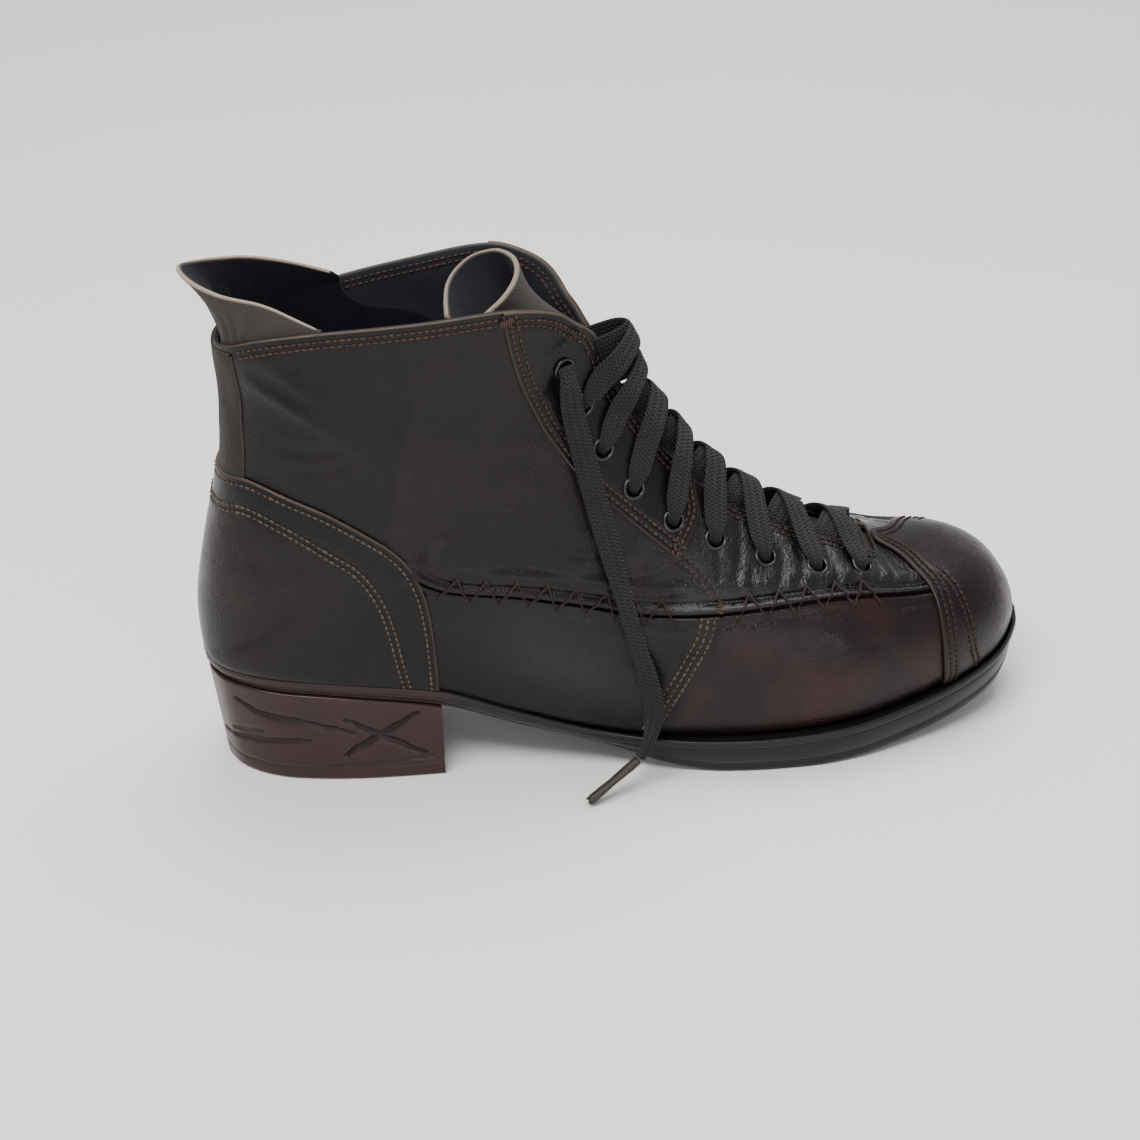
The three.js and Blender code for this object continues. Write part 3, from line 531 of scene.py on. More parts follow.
# Grain: pebbles from cells, fine creases from stretched noise, and the pores between.
def makeGrainGroup():
    group, given, out = newGroup(
        "leatherGrain",
        [("Place", "NodeSocketVector", None), ("Pebble Scale", "NodeSocketFloat", 700.0),
         ("Crease Scale", "NodeSocketFloat", 160.0), ("Crease Share", "NodeSocketFloat", 0.5)],
        [("Height", "NodeSocketFloat"), ("Pores", "NodeSocketFloat")],
    )
    cells = addNode(group, "ShaderNodeTexVoronoi", feature="DISTANCE_TO_EDGE")
    bend = addNode(group, "ShaderNodeTexNoise")
    bend.inputs["Scale"].default_value = 220
    link(group, given.outputs["Place"], bend.inputs["Vector"])
    shifted = addNode(group, "ShaderNodeVectorMath", operation="MULTIPLY_ADD")
    shifted.inputs[1].default_value = (0.0012, 0.0012, 0.0012)
    link(group, bend.outputs["Color"], shifted.inputs[0])
    link(group, given.outputs["Place"], shifted.inputs[2])
    link(group, shifted.outputs[0], cells.inputs["Vector"])
    link(group, given.outputs["Pebble Scale"], cells.inputs["Scale"])
    pores = math2(group, "MULTIPLY", cells.outputs["Distance"], 5.0, clamp=True)
    crease = addNode(group, "ShaderNodeTexNoise")
    setInputs(crease, {"Detail": 6, "Distortion": 0.6})
    link(group, given.outputs["Place"], crease.inputs["Vector"])
    link(group, given.outputs["Crease Scale"], crease.inputs["Scale"])
    folded = math2(group, "ABSOLUTE", math2(group, "SUBTRACT", crease.outputs["Fac"], 0.5))
    soft = math2(group, "MULTIPLY", math2(group, "MULTIPLY", folded, 6.0, clamp=True),
                 given.outputs["Crease Share"])
    link(group, math2(group, "ADD", pores, soft), out.inputs["Height"])
    link(group, pores, out.inputs["Pores"])
    return group


# Weave of a flat lace: slanted ribs in columns, from a map of across (0 to 1) and along
# (millimetres).
def makeWeaveGroup():
    group, given, out = newGroup(
        "laceWeave",
        [("Across And Along", "NodeSocketVector", None), ("Columns", "NodeSocketFloat", 6.0),
         ("Rib Pitch", "NodeSocketFloat", 1.5)],
        [("Height", "NodeSocketFloat"), ("Shade", "NodeSocketFloat")],
    )
    parts = group.nodes.new("ShaderNodeSeparateXYZ")
    link(group, given.outputs["Across And Along"], parts.inputs[0])
    column = math2(group, "MULTIPLY", parts.outputs["X"], given.outputs["Columns"])
    slant = math2(group, "PINGPONG", column, 1.0)
    along = math2(group, "DIVIDE", parts.outputs["Y"], given.outputs["Rib Pitch"])
    phase = math2(group, "MULTIPLY",
                  math2(group, "ADD", along, math2(group, "MULTIPLY", slant, 0.9)), math.tau)
    rib = math2(group, "MULTIPLY_ADD", math2(group, "SINE", phase), 0.5, 0.5)
    middle = math2(group, "ABSOLUTE", math2(group, "SUBTRACT", math2(group, "FRACT", column), 0.5))
    domed = math2(group, "SUBTRACT", 1.0, math2(group, "MULTIPLY", middle, 1.5, clamp=True))
    height = math2(group, "MULTIPLY", rib, domed)
    link(group, height, out.inputs["Height"])
    link(group, rib, out.inputs["Shade"])
    return group


grainGroup = makeGrainGroup()
weaveGroup = makeWeaveGroup()


def placeOf(tree):
    return tree.nodes.new("ShaderNodeTexCoord").outputs["Object"]


def grainIn(tree, place, pebble, crease, share):
    node = tree.nodes.new("ShaderNodeGroup")
    node.node_tree = grainGroup
    link(tree, place, node.inputs["Place"])
    setInputs(node, {"Pebble Scale": pebble, "Crease Scale": crease, "Crease Share": share})
    return node


leatherLooks = {
    "edgeCore": (0.035, 0.022, 0.018),
    "black": (0.0026, 0.0024, 0.0034),
    "oxblood": (0.0105, 0.0058, 0.0062),
    "rubbed": (0.034, 0.0095, 0.0100),
    "rawEdge": (0.15, 0.105, 0.075),
}


# Burnished leather: "tone" runs from black to a rubbed red and also carries painted shade near the
# welt, "raw" shows the cut edge.
def makeLeather(name, pebble=760.0, crease=150.0, share=0.7, roughness=0.31, grainDepth=0.00012,
                coat=0.10):
    material, tree, shader = newMaterial(name)
    place = placeOf(tree)
    tone = attribute(tree, "tone")
    raw = attribute(tree, "raw")
    softness = attribute(tree, "soft")
    cloud = noiseAt(tree, place, 26.0, 5.0, 0.6)
    speck = noiseAt(tree, place, 210.0, 4.0, 0.6)
    grain = grainIn(tree, place, pebble, crease, share)
    drift = math2(tree, "MULTIPLY_ADD", cloud, 0.9, -0.45)
    fleck = math2(tree, "MULTIPLY_ADD", speck, 0.5, -0.25)
    level = math2(tree, "ADD", tone, math2(tree, "ADD", drift, fleck), clamp=True)
    lower = math2(tree, "MULTIPLY", level, 2.0, clamp=True)
    upper = math2(tree, "MULTIPLY_ADD", level, 2.0, -1.0, clamp=True)
    dyed = mixColour(tree, lower, leatherLooks["black"], leatherLooks["oxblood"])
    dyed = mixColour(tree, upper, dyed, leatherLooks["rubbed"])
    inPores = math2(tree, "MULTIPLY_ADD", grain.outputs["Pores"], -0.35, 0.35)
    dyed = mixColour(tree, inPores, dyed, leatherLooks["black"])
    edge = mixColour(tree, speck, leatherLooks["rawEdge"], leatherLooks["edgeCore"])
    link(tree, mixColour(tree, raw, dyed, edge), shader.inputs["Base Color"])
    glossy = math2(tree, "MULTIPLY_ADD", softness, -0.06, roughness - 0.15)
    wet = math2(tree, "MULTIPLY_ADD", noiseAt(tree, place, 55.0, 4.0), 0.30, glossy)
    rough = math2(tree, "MULTIPLY_ADD", raw, 0.5, wet)
    link(tree, rough, shader.inputs["Roughness"])
    fine = bump(tree, grain.outputs["Height"], grainDepth, 0.55)
    broad = bump(tree, noiseAt(tree, place, 75.0, 3.0), 0.0008, 0.35, under=fine)
    creases = noiseAt(tree, place, 290.0, 5.0, 0.55, stretch=(1.5, 0.8, 0.8))
    ridged = math2(tree, "ABSOLUTE", math2(tree, "SUBTRACT", creases, 0.5))
    rumpled = bump(tree, math2(tree, "MULTIPLY", ridged, softness), 0.0012, 0.8, under=broad)
    link(tree, rumpled, shader.inputs["Normal"])
    link(tree, bump(tree, math2(tree, "MULTIPLY", ridged, softness), 0.0012, 0.6),
         shader.inputs["Coat Normal"])
    coated = math2(tree, "MULTIPLY_ADD", softness, 0.30, coat)
    link(tree, coated, shader.inputs["Coat Weight"])
    setInputs(shader, {"Coat Roughness": 0.24, "Specular IOR Level": 0.165})
    return material


def makeNapped(name, colour, dark, roughness=0.85, scale=900.0):
    material, tree, shader = newMaterial(name)
    place = placeOf(tree)
    raw = attribute(tree, "raw")
    inside = attribute(tree, "inside")
    cloud = noiseAt(tree, place, 60.0, 5.0, 0.65)
    nap = noiseAt(tree, place, scale, 3.0, 0.6)
    base = mixColour(tree, cloud, dark, colour)
    base = mixColour(tree, math2(tree, "MULTIPLY", nap, 0.5), base, tuple(v * 1.7 for v in colour))
    # inside faces and tucked side edges: near black, darker than the lining's own colour, painted
    # shade over the lining
    base = mixColour(tree, inside, base, (0.0038, 0.0044, 0.007))
    base = mixColour(tree, raw, base, (0.26, 0.205, 0.16))
    link(tree, base, shader.inputs["Base Color"])
    shader.inputs["Roughness"].default_value = roughness
    outer = math2(tree, "MULTIPLY_ADD", inside, -0.12, 0.25)
    link(tree, outer, shader.inputs["Specular IOR Level"])
    setInputs(shader, {"Sheen Weight": 0.05, "Sheen Roughness": 0.5})
    grain = grainIn(tree, place, 620.0, 180.0, 0.8)
    height = math2(tree, "ADD", nap, grain.outputs["Height"])
    link(tree, bump(tree, height, 0.00016, 0.6), shader.inputs["Normal"])
    return material


def makePlain(name, dark, light, roughness, cloudScale, fineScale, depth, coat=0.0, metallic=0.0,
              gloss=0.2, carved=False,
              stained=None):
    material, tree, shader = newMaterial(name)
    place = placeOf(tree)
    cloud = noiseAt(tree, place, cloudScale, 5.0, 0.65)
    fine = noiseAt(tree, place, fineScale, 4.0, 0.6)
    base = mixColour(tree, cloud, dark, light)
    if stained:
        base = mixColour(tree, attribute(tree, "stain"), base, mixColour(tree, cloud, *stained))
    if carved:
        # painted shade: the carved grooves' colour is darkened to half, where shade falls in them
        groove = attribute(tree, "groove")
        base = mixColour(tree, groove, base, tuple(v * 0.5 for v in dark))
    link(tree, base, shader.inputs["Base Color"])
    rough = math2(tree, "MULTIPLY_ADD", cloud, gloss, roughness - gloss / 2)
    if carved:
        worn = math2(tree, "MULTIPLY_ADD", groove, 0.15, rough)
        rough = worn
    link(tree, rough, shader.inputs["Roughness"])
    link(tree, bump(tree, fine, depth, 0.6), shader.inputs["Normal"])
    setInputs(shader, {"Specular IOR Level": 0.23, "Coat Weight": coat, "Coat Roughness": 0.25,
                       "Metallic": metallic})
    return material


def makeLaceCloth():
    material, tree, shader = newMaterial("blackLace")
    across = tree.nodes.new("ShaderNodeUVMap")
    across.uv_map = "UVMap"
    weave = tree.nodes.new("ShaderNodeGroup")
    weave.node_tree = weaveGroup
    link(tree, across.outputs[0], weave.inputs["Across And Along"])
    place = placeOf(tree)
    fluff = noiseAt(tree, place, 1500.0, 3.0, 0.7)
    base = mixColour(tree, weave.outputs["Shade"], (0.0022, 0.0021, 0.0028),
                     (0.0195, 0.0185, 0.0215))
    base = mixColour(tree, math2(tree, "MULTIPLY", fluff, 0.3), base, (0.024, 0.0225, 0.0245))
    link(tree, base, shader.inputs["Base Color"])
    setInputs(shader, {"Roughness": 0.82, "Specular IOR Level": 0.2, "Sheen Weight": 0.06,
                       "Sheen Roughness": 0.4})
    woven = bump(tree, weave.outputs["Height"], 0.0006, 1.0)
    link(tree, bump(tree, fluff, 0.00008, 0.5, under=woven), shader.inputs["Normal"])
    return material


upperLeather = makeLeather("burnishedLeather")
suede = makeNapped("greySuede", (0.032, 0.0265, 0.0232), (0.0155, 0.013, 0.0122))
stripSuede = makeNapped("brownNap", (0.015, 0.0112, 0.0096), (0.0066, 0.0054, 0.005))
lining = makePlain("blackLining", (0.009, 0.0093, 0.012), (0.021, 0.0218, 0.0275), 0.58, 45.0,
                   700.0, 0.00012)
heelDye = ((0.0145, 0.006, 0.007), (0.037, 0.0138, 0.0148))
soleRubber = makePlain("blackSole", (0.0045, 0.004, 0.0046), (0.0115, 0.0092, 0.0096), 0.34, 70.0,
                       500.0, 0.0001, coat=0.06,
                       stained=heelDye)
heelStack = makePlain("oxbloodHeel", *heelDye, 0.32, 40.0, 260.0, 0.0001, coat=0.12, carved=True)
darkMetal = makePlain("darkMetal", (0.020, 0.020, 0.022), (0.075, 0.075, 0.080), 0.3, 300.0, 900.0,
                      0.00004, metallic=0.9)
thread = makePlain("brownThread", (0.026, 0.0135, 0.0105), (0.080, 0.041, 0.029), 0.75, 260.0,
                   2600.0, 0.00012)
paleThread = makePlain("tanThread", (0.036, 0.025, 0.018), (0.115, 0.082, 0.057), 0.75, 260.0,
                       2600.0, 0.00012)
redThread = makePlain("redBrownThread", (0.016, 0.0075, 0.0068), (0.048, 0.021, 0.0165), 0.7, 260.0,
                      2600.0, 0.00012)
heavyThread = makePlain("heavyThread", (0.009, 0.0052, 0.005), (0.028, 0.0155, 0.013), 0.65, 260.0,
                        2200.0, 0.00015)
tagStuff = makePlain("wornTag", (0.009, 0.008, 0.006), (0.046, 0.041, 0.030), 0.5, 500.0, 900.0,
                     0.0002)
laceCloth = makeLaceCloth()


print("loose lace end")
lace = {
    "width": 8.4,
    "thickness": 1.3,
    # [share of footLength, share of ballWidth, share of shaftHeight], as in the part's source
    "route": [
        [0.4287, -0.2304, 0.8102], [0.4300, -0.2457, 0.7665], [0.4340, -0.2489, 0.7107],
        [0.4420, -0.2565, 0.6497], [0.4533, -0.2935, 0.5685], [0.4660, -0.3413, 0.4822],
        [0.4807, -0.3935, 0.3909], [0.4947, -0.4457, 0.2995], [0.5077, -0.4957, 0.2234],
        [0.5140, -0.5283, 0.1675], [0.5087, -0.5500, 0.1142], [0.4947, -0.5717, 0.0711],
    ],
    "tag": [[0.4920, -0.5750, 0.0670], [0.4280, -0.6576, 0.0107]],
    "tagRadius": 1.9,
    # out of the top eyelet: [stations ahead of its middle, millimetres out of the form]
    "root": [[0.1, -1.6], [0.12, 0.6], [0.12, 2.2], [-0.15, 3.4]],
}


def inFrame(points):
    return np.asarray(points, float) * [boot["footLength"], boot["ballWidth"], boot["shaftHeight"]]


# A ribbon with rounded edges along middle points, with a width direction and a thickness at each.
def ribbon(middle, aside, widths, thickness, startAlong=0.0):
    run = unit(np.gradient(middle, axis=0))
    aside = unit(aside - run * np.sum(aside * run, -1, keepdims=True))
    facingOut = unit(np.cross(run, aside))
    sides = 22
    angle = np.arange(sides) / sides * math.tau
    flat = np.sign(np.cos(angle)) * np.abs(np.cos(angle)) ** 0.55
    thick = np.sign(np.sin(angle)) * np.abs(np.sin(angle)) ** 0.75
    hollow = 1 - 0.12 * np.cos(np.clip(flat, -1, 1) * math.pi * 2.0)
    widths = np.broadcast_to(widths, len(middle))
    thickness = np.broadcast_to(thickness, len(middle))
    points = (middle[:, None] + aside[:, None] * (flat[None, :, None] * widths[:, None, None] / 2)
              + facingOut[:, None] * ((thick * hollow)[None, :, None] * thickness[:, None,
                                                                                  None] / 2))
    along = startAlong + runOf(middle)
    uv = np.stack(np.broadcast_arrays((flat[None, :] + 1) / 2, along[:, None]), -1)
    return points.reshape(-1, 3), tubeFaces(len(middle), sides), uv.reshape(-1, 2)



def joined(parts):
    points, faces, uv, start = [], [], [], 0
    for p, f, t in parts:
        points.append(p)
        uv.append(t)
        faces += [[v + start for v in face] for face in f]
        start += len(p)
    return np.vstack(points), faces, np.vstack(uv)


def makeLooseLace():
    station, up = eyelets[0]
    hole = [onForm(station + ahead, up, lateral, away) for ahead, away in lace["root"]]
    middle = curveThrough(np.vstack([hole, inFrame(lace["route"])[1:]]), 210)
    run = unit(np.gradient(middle, axis=0))
    share = np.linspace(0, 1, len(middle))
    outward = formNormal(station, up, lateral)
    outward = outward[None] * (1 - share[:, None]) + np.array([0.25, -1.0, 0.25]) * share[:, None]
    aside = unit(np.cross(run, unit(outward)))
    turn = 0.5 * np.sin(share * math.pi * 2.3) * share + 0.9 * smooth((share - 0.72) / 0.28)
    normal = unit(np.cross(run, aside))
    aside = aside * np.cos(turn)[:, None] + normal * np.sin(turn)[:, None]
    widths = lace["width"] * 1.06 * (1 - 0.22 * smooth((share - 0.3) / 0.7))
    widths = widths * (1 - 0.35 * smooth((share - 0.9) / 0.1))
    widths = widths * (0.74 + 0.26 * smooth((share - 0.03) / 0.07))
    thickness = lace["thickness"] * (1 + 0.9 * smooth((share - 0.93) / 0.07))
    points, faces, uv = ribbon(middle, aside, widths, thickness)
    piece = makePiece("looseLace", points, faces, laceCloth, across=uv)
    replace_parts(piece, "lace_end")
    ends = inFrame(lace["tag"])
    rings = 36
    spine = np.linspace(ends[0], ends[1], rings)
    run = unit(ends[1] - ends[0])
    aside = unit(np.cross(run, [0, 0, 1.0]))
    rise = np.cross(aside, run)
    sides = 20
    angle = np.arange(sides) / sides * math.tau
    wobble = 1 + 0.06 * valueNoise(spine, 3.0, 5)
    radius = lace["tagRadius"] * wobble * (1 - 0.1 * smooth(np.linspace(-9, 1, rings)))
    radius[0] *= 0.9
    flatten = 0.72 + 0.1 * np.sin(np.linspace(0, 9, rings))
    fray = 1.2 * np.random.default_rng(4).random(sides)
    ring = (spine[:, None] + aside * (np.cos(angle)[None, :, None] * radius[:, None, None])
            + rise * (np.sin(angle)[None, :, None] * (radius * flatten)[:, None, None]))
    ring[-1] += run * fray[:, None] - run * 0.6
    cap = [ring[0].mean(0), ring[-1].mean(0) - run * 1.0]
    points = np.vstack([ring.reshape(-1, 3), cap])
    faces = ringQuads(rings, sides)
    head, tail = rings * sides, rings * sides + 1
    faces += [[head, (k + 1) % sides, k] for k in range(sides)]
    faces += [[tail, tail - 1 - sides + k, tail - 1 - sides + (k + 1) % sides]
              for k in range(sides)]
    tag = makePiece("laceTag", points, [f[::-1] for f in faces], tagStuff)
    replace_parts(tag, "aglet")


makeLooseLace()


print("folds and seams")
# Soft troughs in side view, or ridges with a negative depth: points in millimetres, half width,
# depth.
sideFolds = [
    ([(22, 172), (30, 166), (38, 159), (46, 152)], 3.2, -0.8),
    ([(19, 161), (36, 151), (50, 141), (63, 129)], 3.0, -1.35),
    ([(28, 138), (38, 135), (48, 136)], 2.6, 0.4),
    ([(30, 130), (42, 129), (52, 131)], 2.2, 0.3),
    ([(58, 160), (74, 150), (92, 146)], 7.0, 0.35),
    ([(86, 111), (100, 108), (116, 112)], 4.5, 0.35),
    ([(104, 126), (116, 122), (124, 116)], 3.5, 0.35),
    ([(120, 92), (136, 88), (150, 84)], 3.2, 0.45),
    ([(96, 88), (112, 86), (128, 80)], 2.4, 0.45),
    ([(86, 60), (100, 52), (118, 44)], 4.0, 0.5),
    ([(60, 112), (74, 106), (84, 98)], 3.5, 0.5),
    ([(112, 60), (126, 54), (136, 44)], 3.5, 0.45),
    ([(140, 52), (150, 46), (158, 38)], 3.2, 0.4),
    ([(232, 52), (240, 45), (243, 36)], 3.5, 0.45),
    ([(208, 55), (217, 47), (222, 36)], 4.0, 0.4),
    ([(12, 94), (24, 92), (38, 96)], 4.0, 0.35),
]
# Wrinkles of the soft vamp: [station, up] points, half width, depth.
vampFolds = [
    ([(7.35, 0.86), (7.28, 0.80), (7.1, 0.72), (7.0, 0.66)], 1.5, 0.9),
    ([(6.85, 0.88), (6.78, 0.82), (6.72, 0.74), (6.78, 0.67)], 1.6, 0.9),
    ([(6.5, 0.74), (6.45, 0.69), (6.3, 0.65)], 1.3, 0.6),
    ([(6.25, 0.89), (6.05, 0.84), (5.95, 0.76), (6.05, 0.69)], 1.7, 1.0),
    ([(5.75, 0.90), (5.7, 0.84), (5.62, 0.77), (5.72, 0.71)], 1.4, 0.8),
    ([(5.3, 0.90), (5.2, 0.83), (5.12, 0.77), (5.2, 0.72)], 1.6, 0.9),
    ([(4.95, 0.91), (4.9, 0.86), (4.78, 0.79), (4.9, 0.74)], 1.4, 0.7),
    ([(4.5, 0.90), (4.35, 0.83), (4.4, 0.77)], 1.5, 0.7),
    ([(4.25, 0.88), (4.1, 0.82), (4.12, 0.76)], 1.2, 0.5),
    ([(5.0, 0.74), (5.5, 0.735), (6.1, 0.72)], 1.4, 0.5),
    ([(8.0, 0.66), (8.4, 0.62), (9.2, 0.585)], 1.6, 0.55),
    ([(7.4, 0.645), (8.0, 0.605), (8.8, 0.575), (9.8, 0.53)], 1.3, 0.6),
]
seams = {
    "side": [[12.2, 0.44], [11.48, 0.44], [10.25, 0.477], [8.72, 0.543], [7.25, 0.603],
             [6.3, 0.643],
             [4.95, 0.70], [3.6, 0.735], [3.2, 0.742]],
    "cross": [[6.88, 0.63], [6.93, 0.557], [7.05, 0.487], [7.18, 0.39], [7.23, 0.293], [7.27, 0.15],
              [7.28, 0.0]],
    "cap": [[4.26, 1.0], [4.22, 0.975], [3.92, 0.93], [3.72, 0.845], [3.54, 0.753], [3.46, 0.64],
            [3.42, 0.52],
            [3.37, 0.40], [3.32, 0.25], [3.30, 0.1], [3.30, 0.0]],
    "capSplit": [[3.44, 0.80], [3.31, 0.74], [3.20, 0.66], [3.09, 0.55], [2.97, 0.42], [2.86, 0.30],
                 [2.74, 0.16], [2.68, 0.04]],
    "counterFront": [[10.04, 0.0], [10.34, 0.242], [10.7, 0.35], [11.18, 0.42], [11.6, 0.44]],
    "counterTop": [[11.6, 0.44], [12.16, 0.45], [13.12, 0.45], [15.36, 0.408], [16.66, 0.345],
                   [17.38, 0.27],
                   [17.9, 0.17], [18.0, 0.09], [18.0, 0.0]],
    "counterInner": [[10.33, 0.007], [10.68, 0.228], [11.14, 0.325], [11.82, 0.38], [13.38, 0.40],
                     [15.78, 0.357],
                     [16.86, 0.28], [17.5, 0.18], [17.62, 0.09], [17.62, 0.0]],
    "facingRear": [[19.82, 0.570], [18.44, 0.598], [15.98, 0.675], [13.74, 0.705], [12.1, 0.71],
                   [10.18, 0.70],
                   [9.02, 0.70], [7.78, 0.69]],
    "facingTail": [[7.78, 0.69], [7.38, 0.677], [7.04, 0.64]],
    "facingFront": [[7.78, 0.69], [7.76, 0.72], [7.66, 0.80], [7.82, 0.85], [7.9, 0.882]],
    "throat": [[12.9, 0.885], [11.5, 0.878], [10.0, 0.878], [9.0, 0.878], [8.0, 0.878], [7.5, 0.88],
               [7.0, 0.882],
               [6.0, 0.90], [5.0, 0.912], [4.3, 0.92]],
}
toplineFine = {}
for theSide, pairs in toplines.items():
    s, u = smoothLine([[s, u] for u, s in pairs], theSide, 240)
    toplineFine[theSide] = np.column_stack([np.maximum.accumulate(u), s])


def toplineAt(up, side):
    one, other = (np.interp(up, *toplineFine[k].T) for k in (lateral, medial))
    return np.where(np.asarray(side) < 0, one, other)


def seamLine(name, side, count=44):
    s, u = smoothLine(seams[name], side, count)
    return formPoint(s, u, side)


lines = {}
for theSide in (lateral, medial):
    for seamName in ("side", "cross", "cap", "counterTop", "counterFront", "facingRear"):
        lines[seamName, theSide] = seamLine(seamName, theSide)
    for number, (pairs, _, _) in enumerate(vampFolds):
        s, u = surfaceLine(pairs, theSide, 12)
        lines["fold", number, theSide] = formPoint(s, u, theSide)


def onSide(values, side, work):
    for one in (lateral, medial):
        chosen = np.asarray(side) == one
        if chosen.any():
            values[chosen] += work(one, chosen)


def vampShare(station, up):
    seam = sectionAt(station)["seam"]
    return smooth((up - seam) / 0.012) * smooth((7.75 - station) / 0.25)


# Everything that every layer of the upper shares: dents, folds and wrinkles, in millimetres.
def folds(place, station, up, side):
    h = 0.4 * valueNoise(place, 34.0, 11) + 0.15 * valueNoise(place, 13.0, 12)

    def work(one, chosen):
        p = place[chosen]
        total = np.zeros(len(p))
        flat = p[:, [0, 2]]
        bend = 1.6 * valueNoise(p, 11.0, 21 + one)
        faded = smooth((p[:, 2] - 30) / 12)
        for number, (points, width, depth) in enumerate(sideFolds):
            line = curveThrough(points, 14)
            if one == medial:
                line = line + [3.0 * math.sin(number * 2.1), 2.5 * math.cos(number * 1.7)]
            d, share = nearLine(flat, line)
            d = d + bend * 0.4
            along = np.sin(np.clip(share, 0.02, 0.98) * math.pi) ** 0.5
            beside = 0.55 * (depth > 0) * hump(d, 1.9 * width, width)
            total += faded * along * depth * (beside - hump(d, 0, width))
        q = p + np.stack([bend, np.zeros(len(p)), bend], -1) * 0.35
        for number, (_, width, depth) in enumerate(vampFolds):
            d, share = nearLine(q, lines["fold", number, one])
            along = np.sin(np.clip(share, 0.04, 0.96) * math.pi) ** 0.6
            total += 0.5 * along * depth * (0.5 * hump(d, 2.0 * width, width) - hump(d, 0, width))
        inVamp = vampShare(station[chosen], up[chosen])
        rumple = np.abs(valueNoise(p * [1.0, 0.6, 0.6] + bend[:, None] * 0.6, 3.6, 23)) - 0.35
        return total + inVamp * 0.19 * rumple

    onSide(h, side, work)
    rim = toplineAt(up, side) - station
    h -= 1.9 * hump(place[:, 2], 153, 15) * (1 - smooth(up / 0.32)) * (station > 16)
    return h * (0.25 + 0.75 * smooth(up / 0.12)) * (0.4 + 0.6 * smooth(rim / 0.8))


# Swellings and grooves along the side seam, in millimetres: place above it, half width, height.
seamShape = {
    "lip": (1.8, 1.3, 0.75),
    "groove": (-0.25, 0.42, -1.15),
    "crease": (4.2, 0.9, -1.0),
    "bulge": (9.0, 3.2, 0.55),
    "roll": (-2.0, 1.2, 0.5),
    "hollow": (-4.8, 1.1, -0.4),
}


# The quarter, mudguard and vamp as one skin: ridge and groove of the side seam, step of the cross
# seam.
def skinRelief(place, station, up, side):
    h = folds(place, station, up, side)
    s = sectionAt(station)

    def work(one, chosen):
        p, st, u = place[chosen], station[chosen], up[chosen]
        seam, face = s["seam"][chosen], s["facing"][chosen]
        t = (u - seam) / np.maximum(face - seam, 1e-3)
        window = smooth((st - 2.9) / 0.3) * smooth((12.3 - st) / 0.7)
        per = np.linalg.norm(formPoint(st, u + 0.005, one) - formPoint(st, u - 0.005, one),
                             axis=-1) / 0.01
        above = (u - seam) * per
        uneven = 0.5 + 0.5 * valueNoise(p, 9.0, 31)
        ridge = boot["seamRidge"] * smooth((above + 0.1) / 0.7) * (1 - smooth((t - 0.05) / 0.42))
        lip, groove, crease, bulge, roll, hollow = (
            height * hump(above, at, width) for at, width, height in seamShape.values())
        crease = crease * (0.5 + 0.5 * uneven)
        total = window * (ridge + lip + groove + crease + bulge + roll + hollow * uneven)
        c, _ = nearLine(p, lines["cross", one])
        rear = np.where(p[:, 0] < np.interp(p[:, 2], lines["cross", one][::-1, 2],
                                            lines["cross", one][::-1, 0]), 1, -1) * c
        lower = smooth((seam + 0.01 - u) / 0.03)
        total += lower * (0.55 * smooth(rear / 0.5) * (1 - smooth((rear - 9) / 12))
                          - 0.3 * hump(rear, -0.4, 0.5))
        return total

    onSide(h, side, work)
    return h


# Dips for rows of stitches, in every layer that they cross.
stitchLines = {}
stitchDent = {"depth": 0.28, "half": 0.55}


def stitchDip(place, side, names):
    dip = np.zeros(place.shape[:-1])

    def work(one, chosen):
        total = np.zeros(chosen.sum())
        for name in names:
            for line in stitchLines.get((name, one), []):
                d, _ = nearLine(place[chosen], line[::4])
                total += -stitchDent["depth"] * hump(d, 0, stitchDent["half"])
        return total

    onSide(dip, side, work)
    return dip


stitchPlaces = {}


# A row of stitches beside a seam, so many millimetres towards the given place.
def addRow(name, pairs, distance, toward, sides=(lateral, medial)):
    for side in sides:
        s, u = besideLine(smoothLine(pairs, side, 160), side, distance, toward)
        stitchLines.setdefault((name, side), []).append(formPoint(s, u, side))
        stitchPlaces.setdefault((name, side), []).append((s, u))


for distance in (2.1, 4.3):
    for side in (lateral, medial):
        addRow("topline", [[toplineAt(u, side), u] for u in np.linspace(0.14, 0.56, 16)], distance,
               (17, 0.35), (side,))
        addRow("flapTop", [[toplineAt(u, side), u] for u in np.linspace(0.58, 0.878, 20)], distance,
               (14.5, 0.70), (side,))
for distance in (1.5, 3.9):
    addRow("facingRear", seams["facingRear"], distance, (12.5, 0.85))
for distance in (-1.2, 1.4):
    addRow("tail", seams["facingTail"], distance, (7.0, 0.75))
for distance in (1.8, 4.2):
    addRow("throatTop", seams["throat"][:5], distance, (10.5, 0.6))
    addRow("throatFront", seams["throat"][5:], distance, (6.0, 0.6))
for distance in (1.6, 4.0, 6.4):
    addRow("cross", [[6.93, 0.60]] + seams["cross"][1:-1] + [[7.28, 0.02]], distance, (9.0, 0.3))
addRow("counter", seams["counterFront"] + seams["counterTop"][1:], 1.8, (13.5, 0.1))
for distance in (0, 2.3):
    addRow("counterInner", seams["counterInner"], distance, (13.5, 0.1))
for distance in (2.0, 4.4):
    addRow("cap", seams["cap"][1:], distance, (1.2, 0.5))
for distance in (1.8, 4.0):
    addRow("cap", seams["capSplit"], distance, (1.2, 0.5))
for distance in (1.5, 3.6):
    addRow("facingFront", seams["facingFront"], distance, (10.0, 0.8))


def layerHeight(name, place, station, up, side):
    if name == "facing":
        return boot["overlay"] + folds(place, station, up, side)
    if name in ("cap", "counter"):
        return boot["overlay"] + boot["clearance"] + folds(place, station, up, side) * 0.6
    return skinRelief(place, station, up, side)


